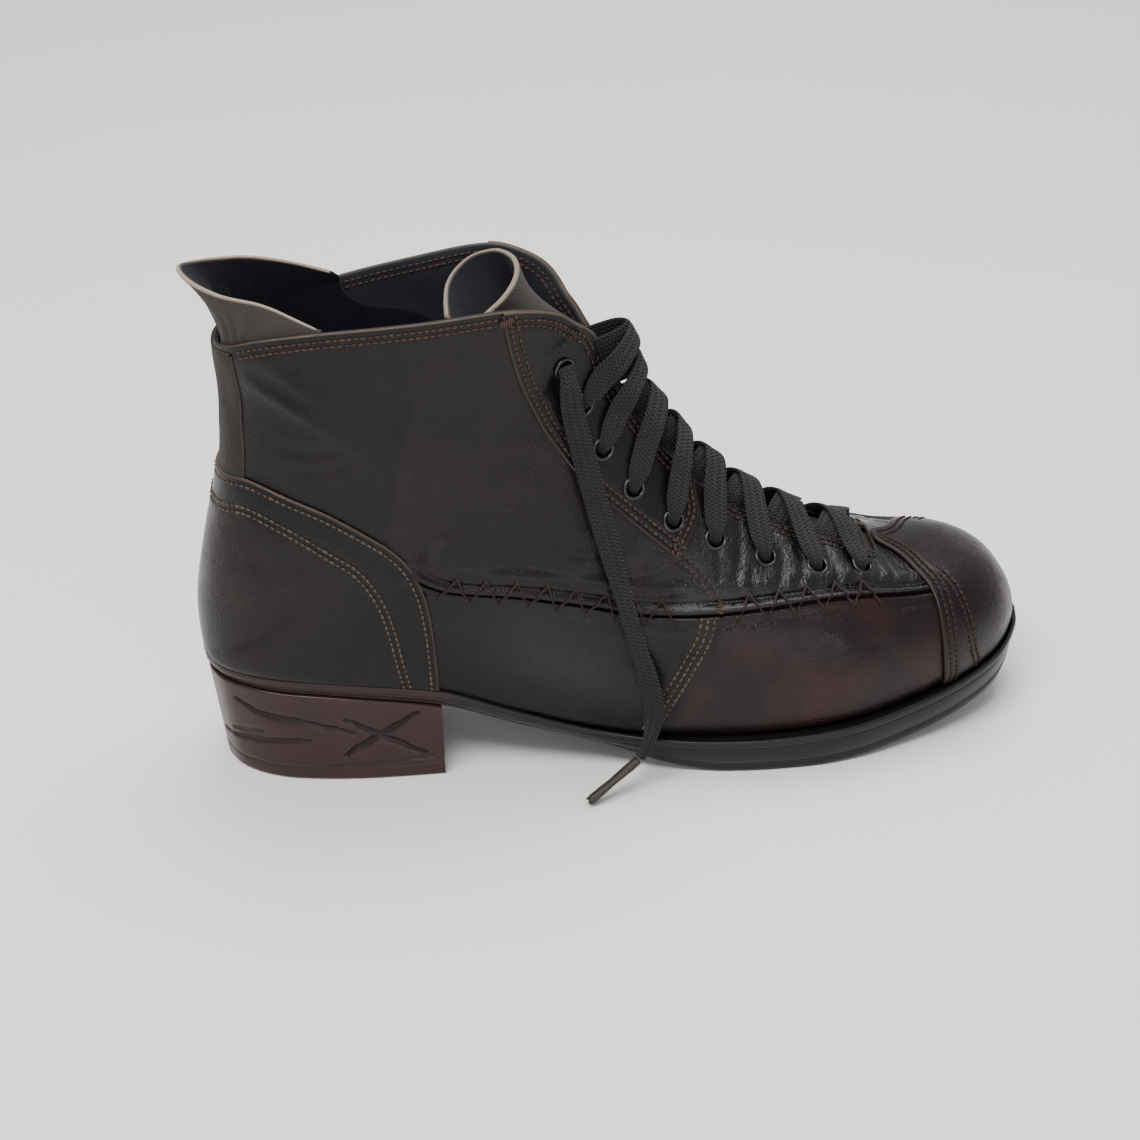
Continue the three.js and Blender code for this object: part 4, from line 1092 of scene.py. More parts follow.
print("panels")
rim = {
    "turns": (35, 75, 115, 150, 180),  # degrees round the cut edge
    "tuckIn": 1.6,
    "raw": (0.55, 1.0, 1.0, 0.8, 0.5, 0.2),  # how pale each row of it is
}
edgeThickness = {"skin": 1.15, "counter": 1.6, "cap": 1.45, "eyestay": 1.35, "strip": 1.3}
relax = {"least": 0.12, "station": 14.9, "reach": 1.3}  # where a panel is smoothed most


# Rows of points round an edge, from a profile of [outwards, along the normal], and the quads
# between them.
def cutEdge(points, normals, edge, inside, profile, start):
    p, n = points[edge], normals[edge]
    out = unit(np.cross(unit(np.gradient(p, axis=0)), n))
    out *= np.sign(np.sum(out * (p - points[inside]), -1).mean())
    rowsOf = np.vstack([p] + [p + out * a + n * b for a, b in profile])
    quads = facing(rowsOf, gridQuads(len(profile) + 1, len(edge)),
                   np.tile(out, (len(profile) + 1, 1)))
    numbers = np.concatenate([edge, start + np.arange(len(profile) * len(edge))])
    return rowsOf[len(edge):], numbers[quads]


# A leather panel from a grid of [station, up, side], with a rounded cut edge along the named
# borders.
def panel(name, station, up, side, height, thickness, borders, material, slotName, tone, dips=(),
          holes=False,
          rawness=1.0, soft=None, relaxed=0):
    place = formPoint(station, up, side)
    normal = formNormal(station, up, side)
    share = relax["least"] + (1 - relax["least"]) * hump(station, relax["station"], relax["reach"])
    share = share[1:-1, 1:-1, None]
    for _ in range(relaxed):
        for values in (place, normal):
            around = (values[:-2, 1:-1] + values[2:, 1:-1] + values[1:-1, :-2]
                      + values[1:-1, 2:]) / 4
            values[1:-1, 1:-1] += share * (around - values[1:-1, 1:-1])
    flat, normals = place.reshape(-1, 3), unit(normal).reshape(-1, 3)
    at = station.ravel(), up.ravel(), side.ravel()
    away = height(flat, *at)
    if dips:
        away = away + stitchDip(flat, at[2], dips)
    points = flat + normals * away[:, None]
    faces = facing(points, gridQuads(*station.shape), normals)
    if holes:
        faces = cutEyelets(points, faces)
    tones = tone(flat, *at)
    softness = soft(*at[:2]) if soft else np.zeros(len(points))
    marks = {"raw": [np.zeros(len(points))], "tone": [tones], "soft": [softness]}
    number = np.arange(station.size).reshape(station.shape)
    picks = {
        "first": (number[0], number[1]), "last": (number[-1], number[-2]),
        "left": (number[:, 0], number[:, 1]), "right": (number[:, -1], number[:, -2]),
    }
    radius = thickness / 2
    profile = [(radius * math.sin(a), -radius * (1 - math.cos(a)))
               for a in np.radians(rim["turns"])]
    profile.append((-rim["tuckIn"], -thickness))
    allPoints, allFaces = [points], [faces]
    for border in borders:
        edge, inside = picks[border]
        added, strip = cutEdge(points, normals, edge, inside, profile, sum(map(len, allPoints)))
        allPoints.append(added)
        allFaces.append(strip)
        marks["raw"].append(np.repeat(rim["raw"], len(edge)) * rawness)
        marks["tone"].append(np.tile(tones[edge], len(profile)))
        marks["soft"].append(np.tile(softness[edge], len(profile)))
    return makePiece(name, np.vstack(allPoints), np.vstack(allFaces), material,
                     marks={mark: np.concatenate(values) for mark, values in marks.items()})


def eyeletSeats():
    seats = []
    for side in (lateral, medial):
        for station, up in eyelets:
            s, u, o = np.array([station]), np.array([up]), np.array([side])
            place = formPoint(s, u, o)
            added = boot["overlay"] if station >= boot["facingStart"] else 0.0
            h = added + folds(place, s, u, o)[0]
            normal = formNormal(s, u, o)[0]
            seats.append((place[0] + normal * h, normal, side, station, up, added))
    return seats


seats = eyeletSeats()
eyeletSize = {"hole": 3.35, "ring": 3.65, "wire": 0.62, "bore": 3.1, "depth": 4.2}


def cutEyelets(points, faces):
    middle = points[faces].mean(1)
    keep = np.ones(len(faces), bool)
    for place, normal, *_ in seats:
        gap = middle - place
        along = gap @ normal
        away = np.linalg.norm(gap - along[:, None] * normal, axis=1)
        keep &= ~((away < eyeletSize["hole"]) & (np.abs(along) < 7))
    return faces[keep]


def evenStations(qs, startOf, endOf, upOf, side, count, fineCount=300):
    table = np.zeros((len(qs), count))
    for k, q in enumerate(qs):
        fine = np.linspace(startOf(q), endOf(q), fineCount)
        table[k] = evenly(formPoint(fine, upOf(q, fine), side), fine, count)
    return table


skin = {"rows": (84, 82), "columns": 380, "front": 2.6}


def throatShare(station):
    return sectionAt(station)["throat"]


# Leather tones: level, how much it varies, over how many millimetres, seed.
tones = {
    "quarter": (0.38, 0.14, 30.0, 51),
    "guard": (0.18, 0.2, 22.0, 52),
    "frontGuard": (0.58, 0.32, 17.0, 53),
    "vamp": (0.02, 0.04, 12.0, 54),
    "counter": (0.42, 0.2, 20.0, 61),
    "cap": (0.46, 0.2, 20.0, 71),
    "eyestay": (0.20, 0.14, 16.0, 81),
    "strip": (0.35, 0.1, 10.0, 91),
}


def mottled(name, place):
    level, spread, size, seed = tones[name]
    return level + spread * valueNoise(place, size, seed)


# Colour of the leather by place: black vamp, redder mudguard and toe, and painted shade
# darkening it towards the feather line, where the upper meets the welt.
def skinTone(place, station, up, side):
    s = sectionAt(station)
    aboveSeam = smooth((up - s["seam"]) / 0.012)
    vamp = vampShare(station, up)
    frontGuard = (1 - aboveSeam) * smooth((7.25 - station) / 0.2)
    tone = mottled("quarter", place) * aboveSeam + mottled("guard", place) * (1 - aboveSeam)
    tone = tone * (1 - frontGuard) + mottled("frontGuard", place) * frontGuard
    tone = tone * (1 - vamp) + mottled("vamp", place) * vamp
    # painted shade: darker towards the feather line at the bottom of the upper
    feather = hump(up, 0, 0.16) * (station < 15)
    return np.clip(tone - 0.3 * feather, 0, 1)


# Rows of the skin: 0 at the feather line, 1 along the side seam, 2 at the throat.
def upOfRow(share, station):
    s = sectionAt(station)
    return s["seam"] * np.minimum(share, 1) + (s["throat"] - s["seam"]) * np.maximum(share - 1, 0)


def endOfRow(share, side):
    station = 19.0
    for _ in range(40):
        station += 0.6 * (float(toplineAt(upOfRow(share, np.array(station)), side)) - station)
    return station


def makeSkin(side):
    below, above = skin["rows"]
    shares = np.concatenate([1 - np.linspace(1, 0, below, endpoint=False) ** 1.7,
                             1 + np.linspace(0, 1, above) ** 1.7])
    table = evenStations(shares, lambda q: skin["front"], lambda q: endOfRow(q, side),
                         lambda q, s: upOfRow(q, s), side, skin["columns"])
    up = upOfRow(shares[:, None], table)
    sides = np.full(table.shape, side)
    return panel("quarterAndVamp" + labels[side], table, up, sides, skinRelief,
                 edgeThickness["skin"], ("last", "right"), upperLeather,
                 "upper_leather", skinTone, dips=("topline", "tail", "cross", "throatFront"),
                 holes=True, rawness=0.85,
                 soft=lambda s, u: vampShare(s, u)
                 + 0.7 * np.exp(-((s - 8.9) / 1.0) ** 2 - ((u - 0.40) / 0.11) ** 2))


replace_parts(makeSkin(lateral), "upper")
makeSkin(medial)


# A table for each side, joined round the ridge or the back.
def bothSides(own, other):
    return np.hstack([own, other[:, ::-1][:, 1:]])


def mirrored(grid):
    shape = grid.shape[:2]
    return (bothSides(grid[..., 0], grid[..., 0]), bothSides(grid[..., 1], grid[..., 1]),
            bothSides(np.full(shape, lateral), np.full(shape, medial)))


# The vamp between the two flaps' front ends and the toe cap, over the ridge.
def makeVampBridge():
    s, q = np.meshgrid(np.linspace(3.6, 4.26, 14), np.linspace(0, 1, 60), indexing="ij")
    grid = np.stack([s, throatShare(s) + (1 - throatShare(s)) * q], -1)
    panel("vampBridge", *mirrored(grid), skinRelief, edgeThickness["skin"], ("last",), upperLeather,
          "upper_leather",
          skinTone, rawness=0.3, soft=vampShare)


makeVampBridge()


def coons(first, last, left, right, rowCount, columnCount):
    v = np.linspace(0, 1, rowCount)[:, None, None]
    t = np.linspace(0, 1, columnCount)[None, :, None]
    ruledUp = first[None] * (1 - v) + last[None] * v
    ruledAcross = left[:, None] * (1 - t) + right[:, None] * t
    corners = (first[0] * (1 - v) * (1 - t) + first[-1] * (1 - v) * t + last[0] * v * (1 - t)
               + last[-1] * v * t)
    return ruledUp + ruledAcross - corners


def pairsLine(pairs, side, count):
    return np.stack(smoothLine(pairs, side, count), -1)


def plainLine(pairs, side, count):
    return np.stack(surfaceLine(pairs, side, count), -1)


# Counter: from the feather line up to its raw top edge, round the back.
def makeCounter():
    rowCount, columnCount = 80, 150
    bottom = plainLine([[10.04, 0.0], [12.0, 0.0], [13.5, 0.0], [14.4, 0.0], [15.0, 0.0]], lateral,
                       columnCount)
    top = pairsLine(seams["counterTop"], lateral, columnCount)
    front = pairsLine(seams["counterFront"], lateral, rowCount)
    back = plainLine([[15.0, 0.0], [16.0, 0.0], [17.0, 0.0], seams["counterTop"][-1]], lateral,
                     rowCount)
    grid = coons(bottom, top, front, back, rowCount, columnCount)
    grid[..., 1] = np.clip(grid[..., 1], 0, 1)
    station, up, side = mirrored(grid)

    band = {one: seamLine("counterInner", one, 60) for one in (lateral, medial)}
    edges = {one: np.vstack([seamLine("counterFront", one, 40), seamLine("counterTop", one, 60)])
             for one in (lateral, medial)}

    def tone(place, s, u, o):
        fore = smooth((place[:, 0] - 30) / 35)
        # painted shade: the last term darkens the counter towards the feather line at its bottom
        t = mottled("counter", place) - 0.26 * fore - 0.12 * hump(u, 0, 0.1)

        def work(one, chosen):
            near, _ = nearLine(place[chosen], edges[one])
            inner, _ = nearLine(place[chosen], band[one])
            between = smooth((8.8 - near) / 0.6) * smooth((inner + 0.4) / 0.6)
            return -0.45 * between

        onSide(t, o, work)
        return np.clip(t, 0, 1)

    piece = panel("heelCounter", station, up, side, partial(layerHeight, "counter"),
                  edgeThickness["counter"], ("last", "left", "right"), upperLeather,
                  "upper_leather", tone, dips=("counter", "counterInner"), relaxed=140)
    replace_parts(piece, "counter")


makeCounter()


# Toe cap: from its seam forward to the tip, closed there by a pole.
def makeToeCap():
    upCount, alongCount = 90, 78
    ups = np.linspace(0, 1, upCount)
    seamS, seamU = smoothLine(seams["cap"], lateral, 300)
    order = np.argsort(seamU)
    halves = [evenStations(ups, lambda u: np.interp(u, seamU[order], seamS[order]), lambda u: 0,
                           lambda u, s: u, side, alongCount, 120).T for side in (lateral, medial)]
    station = bothSides(*halves)
    up = bothSides(*[np.tile(ups, (alongCount, 1))] * 2)
    side = bothSides(*[np.full(half.shape, one) for half, one in zip(halves, (lateral, medial))])

    def tone(place, s, u, o):
        # painted shade: the cap darkens towards its bottom, next to the welt
        low = hump(u, 0, 0.2)
        return np.clip(mottled("cap", place) - 0.22 * low, 0, 1)

    def height(p, s, u, o):
        fade = smooth(s / 1.5)
        return boot["overlay"] + boot["clearance"] + folds(p, s, u, o) * 0.5 * fade

    piece = panel("toeCap", station, up, side, height, edgeThickness["cap"], ("first",),
                  upperLeather, "cap_leather", tone,
                  dips=("cap",), rawness=0.22)
    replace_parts(piece, "toe_cap")
    # the blunt tip
    tipU = np.concatenate([ups, ups[::-1][1:]])
    tipSide = np.concatenate([np.full(upCount, lateral), np.full(upCount - 1, medial)])
    ringPlace = onForm(np.zeros(len(tipU)), tipU, tipSide,
                       np.full(len(tipU), boot["overlay"] + boot["clearance"]))
    middle = ringPlace.mean(0) + [0.25, 0, 0]
    shares = np.linspace(0, 1, 8)[:-1]
    loops = [ringPlace * (1 - a) + middle * a for a in shares]
    points = np.vstack(loops + [middle[None]])
    n = len(ringPlace)
    faces = ringQuads(len(loops), n)
    faces += [[(len(loops) - 1) * n + k, (len(loops) - 1) * n + (k + 1) % n, len(points) - 1]
              for k in range(n)]
    normal = np.cross(points[faces[n][1]] - points[faces[n][0]],
                      points[faces[n][2]] - points[faces[n][0]])
    if normal[0] < 0:
        faces = [f[::-1] for f in faces]
    makePiece("toeCapTip", points, faces, upperLeather,
              marks={"raw": np.zeros(len(points)), "tone": np.full(len(points), 0.42)})


makeToeCap()


# Eyestay: over the quarter from the topline to the front of its eyelets.
def makeEyestay(side):
    rowCount, columnCount = 46, 190
    rear = pairsLine(seams["facingRear"], side, columnCount)
    inner = pairsLine(seams["throat"][:5] + [[7.9, 0.882]], side, columnCount)
    top = pairsLine([[float(toplineAt(u, side)), u] for u in np.linspace(0.567, 0.885, 16)], side,
                    rowCount)
    front = pairsLine(seams["facingFront"], side, rowCount)
    rear[0], inner[0] = top[0], top[-1]
    front[0], front[-1] = rear[-1], inner[-1]
    grid = coons(rear, inner, top, front, rowCount, columnCount)

    def tone(place, s, u, o):
        return np.clip(mottled("eyestay", place), 0, 1)

    return panel("eyestay" + labels[side], grid[..., 0], grid[..., 1],
                 np.full(grid.shape[:2], side), partial(layerHeight, "facing"),
                 edgeThickness["eyestay"],
                 ("first", "last", "left", "right"), upperLeather, "upper_leather", tone,
                 dips=("facingRear", "throatTop", "flapTop", "facingFront"), holes=True,
                 rawness=0.7)


makeEyestay(lateral)
makeEyestay(medial)


# Backstay: the strip up the back, over the quarters' joint.
def makeBackstay():
    rowCount, columnCount = 70, 22
    start, end = 17.6, float(toplineAt(0.0, lateral))
    spread = np.interp(np.linspace(start, end, rowCount), [17.6, 18.3, 18.9, 20.1],
                       [0.15, 0.145, 0.135, 0.125])
    half = np.linspace(1, 0, columnCount)
    station = np.tile(np.linspace(start, end, rowCount)[:, None], (1, columnCount))
    grid = np.stack([station, half[None] * spread[:, None]], -1)
    station, up, side = mirrored(grid)

    def height(p, s, u, o):
        return 0.75 + folds(p, s, u, o) + 0.3 * valueNoise(p, 6.0, 92)

    def tone(place, s, u, o):
        return np.clip(mottled("strip", place), 0, 1)

    piece = panel("backStrip", station, up, side, height, edgeThickness["strip"],
                  ("left", "right", "first", "last"), stripSuede, "suede", tone,
                  rawness=0.12)
    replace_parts(piece, "backstay")


makeBackstay()


print("lining and insole")


liningRim = [(0.35, 0.1), (0.55, 0.45), (0.4, 0.85), (-0.4, 1.05),
             (-2.5, 1.05)]  # outwards, along the normal


def makeLining():
    qs = np.linspace(0, 1, 70)
    for side in (lateral, medial):
        table = evenStations(qs, lambda q: 3.0, lambda q: float(toplineAt(q * 0.885, side)),
                             lambda q, s: q * throatShare(s), side, 150)
        up = qs[:, None] * throatShare(table)
        sides = np.full(table.shape, side)
        flat, normals = (work(table, up, sides).reshape(-1, 3) for work in (formPoint, formNormal))
        shared = folds(flat, table.ravel(), up.ravel(), sides.ravel())
        points = flat + normals * (shared * 0.8 - boot["wall"])[:, None]
        faces = cutEyelets(points, facing(points, gridQuads(*table.shape), -normals))
        number = np.arange(table.size).reshape(table.shape)
        edge = np.concatenate([number[:, -1][:-1], number[-1][::-1]])
        inside = np.concatenate([number[:, -2][:-1], number[-2][::-1]])
        added, strip = cutEdge(points, normals, edge, inside, liningRim, len(points))
        makePiece("lining" + labels[side], np.vstack([points, added]), np.vstack([faces, strip]),
                  lining)


makeLining()


# Points across the foot at each station, from one edge to the other.
def featherPoint(station, side, reach):
    step = 0.02
    s = np.clip(station, step, boot["heelBack"] - step)
    here = formPoint(station, 0.0, side)
    run = formPoint(s + step, 0.0, side) - formPoint(s - step, 0.0, side)
    outward = unit(np.stack([-run[..., 1], run[..., 0]], -1)) * -side
    atBack = smooth((station - 14.6) / 0.4)[..., None]
    outward = unit(outward * (1 - atBack) + np.array([-1.0, 0.0]) * atBack)
    outward[..., 0] = np.where(station <= 0.0, np.abs(outward[..., 0]), outward[..., 0])
    return here[..., :2] + outward * np.asarray(reach)[..., None]


# The shoe's outline from above as one closed loop: lateral side from toe to heel, then medial back.
def outlineLoop(reach, first=0.0, last=None, count=150):
    last = boot["heelBack"] if last is None else last
    fine = np.linspace(first, last, 500)
    sidesDone = []
    for side in (lateral, medial):
        place = featherPoint(fine, side, reach(fine))
        at = evenly(place, fine, count)
        sidesDone.append(featherPoint(at, side, reach(at)))
    return sidesDone


def reachOf(station):
    return sectionAt(station)["reach"] * 5.8


# A sole layer: side wall through a profile of [extra reach, share of the height], closed above and
# below.
def soleBlock(name, material, reach, top, bottom, profile, first=0.0, last=None,
              count=150, across=16,
              relief=None, shorten=None, marks=None):
    walls = []
    for extra, share in profile:
        left, right = outlineLoop(lambda s: reach(s) + extra, first, last, count)
        loop = np.vstack([left, right[::-1]])
        z = bottom(loop[:, 0]) * (1 - share) + top(loop[:, 0]) * share
        walls.append(np.column_stack([loop, z]))
    walls = np.array(walls)
    if shorten is not None:
        walls = shorten(walls)
    if relief is not None:
        walls = relief(walls)
    levels, around = walls.shape[:2]
    points = [walls.reshape(-1, 3)]
    faces = ringQuads(levels, around)
    start = levels * around
    for level, below in ((0, True), (levels - 1, False)):
        loop = walls[level]
        left, right = loop[:count], loop[count:][::-1]
        share = np.linspace(0, 1, across + 1)[1:-1]
        inner = left[:, None] * (1 - share[None, :, None]) + right[:, None] * share[None, :, None]
        points.append(inner.reshape(-1, 3))
        ids = np.zeros((count, across + 1), int)
        ids[:, 0] = level * around + np.arange(count)
        ids[:, -1] = level * around + np.arange(around - 1, count - 1, -1)
        ids[:, 1:-1] = start + np.arange(count * (across - 1)).reshape(count, across - 1)
        start += count * (across - 1)
        quads = ids.ravel()[gridQuads(count, across + 1)]
        faces += (quads[:, ::-1] if below else quads).tolist()
    points = np.vstack(points)
    # the wall has to face away from the middle
    a, b, c = (points[faces[around // 4][k]] for k in range(3))
    normal = np.cross(b - a, c - a)
    side = points[faces[around // 4][0]][1]
    if normal[1] * np.sign(side) < 0:
        wallFaces = levels - 1
        faces = [f[::-1] for f in faces[:wallFaces * around]] + faces[wallFaces * around:]
    topFace = faces[-1]
    a, b, c = (points[topFace[k]] for k in range(3))
    if np.cross(b - a, c - a)[2] < 0:
        cut = (levels - 1) * around
        faces = faces[:cut] + [f[::-1] for f in faces[cut:]]
    return makePiece(name, points, faces, material,
                     marks=marks(points) if marks else None)


sole = {"weltThickness": 3.4, "step": 0.9, "insoleThickness": 3.0}
gap = boot["clearance"]


def weltTop(x):
    return seatPlace(x) - gap


def weltBottom(x):
    return weltTop(x) - sole["weltThickness"]


insole = soleBlock("footbed", lining,
                   lambda s: np.full(np.shape(s), -(boot["wall"] + 0.6)),
                   lambda x: seatPlace(x) + sole["insoleThickness"], seatPlace,
                   [(0, 0), (0, 0.8), (-0.8, 1.0)], last=14.6)
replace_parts(insole, "insole")

print("sole and heel")


# The heel's dye runs onto the sole's edge above it.
def heelStain(points):
    return {"stain": 0.8 * smooth((breastX + 8 - points[:, 0]) / 14)}


weltPiece = soleBlock("weltStrip", soleRubber, reachOf, weltTop, weltBottom,
                      [(-1.5, 0.0), (-0.5, 0.0), (-0.1, 0.12), (0, 0.3), (0, 0.72), (-0.2, 0.9),
                       (-0.7, 1.0),
                       (-1.6, 0.97), (-2.4, 0.8), (-3.2, 0.72), (-6.0, 0.70)], count=220,
                       marks=heelStain)
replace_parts(weltPiece, "welt")
outsolePiece = soleBlock("treadSole", soleRubber,
                         lambda s: reachOf(s) - sole["step"],
                         lambda x: weltBottom(x) - gap, treadHeight,
                         [(-4.0, 0.0), (-1.9, 0.0), (-1.2, 0.06), (-1.0, 0.16), (-0.85, 0.3),
                          (-1.15, 0.335), (-0.75, 0.37),
                          (-0.3, 0.75), (-0.1, 0.92), (-0.45, 1.0), (-1.5, 1.0)], count=220,
                          marks=heelStain)
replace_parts(outsolePiece, "outsole")

heelGrooves = [  # side view, millimetres
    [(3.8, 32.1), (9, 29.6), (15.4, 27.7), (26.8, 25.5), (37.5, 23), (45.4, 20.9)],
    [(41.4, 10.8), (68.8, 28.0)],
    [(42.5, 26.8), (71.8, 9.8)],
    [(-1.3, 13.5), (7, 15.5), (18, 16.8), (29.1, 17.7)],
    [(2.1, 17.7), (11.9, 20.7)],
    [(35.6, 6.5), (55, 7.2), (74, 8.5)],
    [(-5.0, 6.0), (10, 5.4), (36, 5.6), (60, 5.6), (80, 5.8)],
]
heelDepth = [0.9, 1.0, 1.0, 0.8, 0.6, 0.5]


def makeHeel():
    heightSteps = np.linspace(0, 1, 92)
    lower, upper = (1 - np.minimum(share, 1)
                    for share in (heightSteps / 0.03, (1 - heightSteps) / 0.02))
    profile = np.column_stack([-(0.9 * lower**2 + 0.5 * upper**2), heightSteps])

    def shorten(walls):
        share = heightSteps[:, None]
        scale = boot["heelTaper"] + (1 - boot["heelTaper"]) * share
        walls[..., 0] = breastX - (breastX - walls[..., 0]) * scale
        return walls

    def carving(points):
        flat = points[:, [0, 2]] + 0.5 * np.stack([valueNoise(points, 3.5, 42),
                                                   valueNoise(points, 3.5, 43)], -1)
        cut = np.zeros(len(flat))
        for number, groove in enumerate(heelGrooves):
            line = curveThrough(groove,
                                24) if len(groove) > 2 else np.linspace(*np.array(groove, float), 8)
            d, share = nearLine(flat, line)
            lift = number == len(heelGrooves) - 1
            width = 0.5 if lift else 0.5 + 1.05 * np.sin(np.clip(share, 0.06, 0.94) * math.pi)
            cut = np.maximum(cut, (0.3 if lift else heelDepth[number]) * hump(d, 0, width))
        return cut

    def relief(walls):
        depth = 1.2 * carving(walls.reshape(-1, 3)) - 0.14 * valueNoise(walls.reshape(-1, 3), 14.0,
                                                                        41)
        run = np.roll(walls, -1, axis=1) - np.roll(walls, 1, axis=1)
        outward = unit(np.stack([run[..., 1], -run[..., 0], np.zeros(run.shape[:2])], -1))
        centre = walls.mean((0, 1))
        outward *= np.sign(np.sum(outward * (walls - centre), -1, keepdims=True))
        return walls - outward * depth.reshape(walls.shape[:2])[..., None]

    # the "groove" mark darkens the carved grooves' colour as painted shade
    piece = soleBlock("stackedHeel", heelStack, lambda s: reachOf(s) - sole["step"],
                      lambda x: treadHeight(x) - gap, lambda x: np.zeros(np.shape(x)), profile,
                      first=boot["heelBreast"], count=230, relief=relief, shorten=shorten,
                      marks=lambda points: {"groove": carving(points) * (points[:, 2] > 0.5)})
    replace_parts(piece, "heel")


makeHeel()


print("tongue and tab")
tongue = {
    "thickness": 2.4,
    "edge": 0.79,
    "start": 4.0,
    "end": 13.0,
    "bend": -5.5,
    # [share of footLength, share of ballWidth, share of shaftHeight]
    "rim": [
        [0.337, -0.235, 0.914], [0.357, -0.19, 0.930], [0.373, -0.10, 0.940], [0.381, 0.02, 0.944],
        [0.378, 0.13, 0.944], [0.363, 0.205, 0.942], [0.337, 0.215, 0.934], [0.316, 0.155, 0.924],
        [0.302, 0.055, 0.916], [0.297, -0.055, 0.911], [0.295, -0.18, 0.905],
    ],
}
tab = {
    "thickness": 1.6,
    "start": 18.0,
    "rim": [
        [0.150, -0.275, 0.912], [0.120, -0.235, 0.932], [0.086, -0.175, 0.948],
        [0.040, -0.130, 0.962],
        [0.010, -0.075, 0.980], [-0.003, 0.010, 0.990], [0.013, 0.110, 0.980],
        [0.066, 0.195, 0.966],
        [0.120, 0.235, 0.942], [0.165, 0.265, 0.912],
    ],
}


# A bent sheet of middle points, thickened both ways, with a rounded rim.
def bentSheet(name, grid, thickness, material, outwardHint, rimRaw=1.0):
    along = np.gradient(grid, axis=0)
    across = np.gradient(grid, axis=1)
    normal = unit(np.cross(along, across))
    middle = normal[grid.shape[0] // 2, grid.shape[1] // 2]
    if middle @ np.asarray(outwardHint, float) < 0:
        normal = -normal
    count, width = grid.shape[:2]
    number = np.arange(count * width).reshape(count, width)
    ring = np.concatenate([number[0], number[1:, -1], number[-1][::-1][1:], number[1:-1, 0][::-1]])
    flat, n = grid.reshape(-1, 3), normal.reshape(-1, 3)
    outer = flat + n * thickness / 2
    inner = flat - n * thickness / 2
    size = len(flat)
    outerFaces = facing(outer, gridQuads(count, width), n)
    innerFaces = facing(inner, gridQuads(count, width), -n) + size
    p = flat[ring]
    run = unit(np.roll(p, -1, axis=0) - np.roll(p, 1, axis=0))
    out = unit(np.cross(run, n[ring]))
    inward = np.concatenate([number[1], number[1:, -2], number[-2][::-1][1:],
                             number[1:-1, 1][::-1]])
    out *= np.sign(np.sum(out * (p - flat[inward]), -1, keepdims=True))
    loops = [p + out * thickness * 0.5 * math.cos(a) + n[ring] * thickness * 0.5 * math.sin(a)
             for a in np.radians([55, 0, -55])]
    start = 2 * size
    numbers = [ring] + [start + k * len(ring) + np.arange(len(ring))
                        for k in range(3)] + [ring + size]
    points = np.vstack([outer, inner] + loops)
    closed = np.array([np.append(one, one[0]) for one in numbers])
    strips = closed.ravel()[gridQuads(*closed.shape)]
    strips = turned(points, strips, np.tile(out, (len(numbers) - 1, 1)))
    paleRing = rimRaw * (ring >= (count - 2) * width)
    raw = np.concatenate([np.zeros(2 * size), np.tile(paleRing, 3)])
    raw[ring] = 0.35 * paleRing
    raw[ring + size] = 0.25 * paleRing
    # the "inside" mark: inner face and tucked side edges get a near-black colour, lining plus
    # painted shade
    ringInside = 1.0 * (ring < (count - 2) * width)
    inside = np.concatenate([np.zeros(size), np.ones(size), np.tile(ringInside, 3)])
    return makePiece(name, points, np.vstack([outerFaces, innerFaces, strips]), material,
                     marks={"raw": raw, "inside": inside, "tone": np.zeros(len(points))})


def makeTongue():
    width = 72
    under = -(boot["wall"] + 4 * boot["clearance"] + tongue["thickness"] / 2)
    place = np.linspace(-1, 1, width)
    up = 1 + (tongue["edge"] - 1) * np.abs(place)
    side = np.where(place < 0, lateral, medial)
    stations = np.linspace(tongue["start"], tongue["end"], 90)
    rowsHere = [onForm(np.full(width, s), up, side, np.full(width, under)) for s in stations]
    top = rowsHere[-1]
    rimLine = curveThrough(inFrame(tongue["rim"]), width)
    for lift in np.linspace(0, 1, 52)[1:]:
        bent = top * (1 - lift) + rimLine * lift
        bent[:, 0] += math.sin(lift * math.pi) * tongue["bend"]
        rowsHere.append(bent)
    grid = np.array(rowsHere)
    for _ in range(6):
        grid[85:-6] = (grid[84:-7] + grid[85:-6] * 2 + grid[86:-5]) / 4
    grid += (0.35 * valueNoise(grid, 14.0, 101))[..., None] * np.array([0.6, 0.2, 0.6])
    piece = bentSheet("tongueLeather", grid, tongue["thickness"] * 0.8, suede, (1, 0, 1),
                      rimRaw=0.75)
    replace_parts(piece, "tongue")


makeTongue()


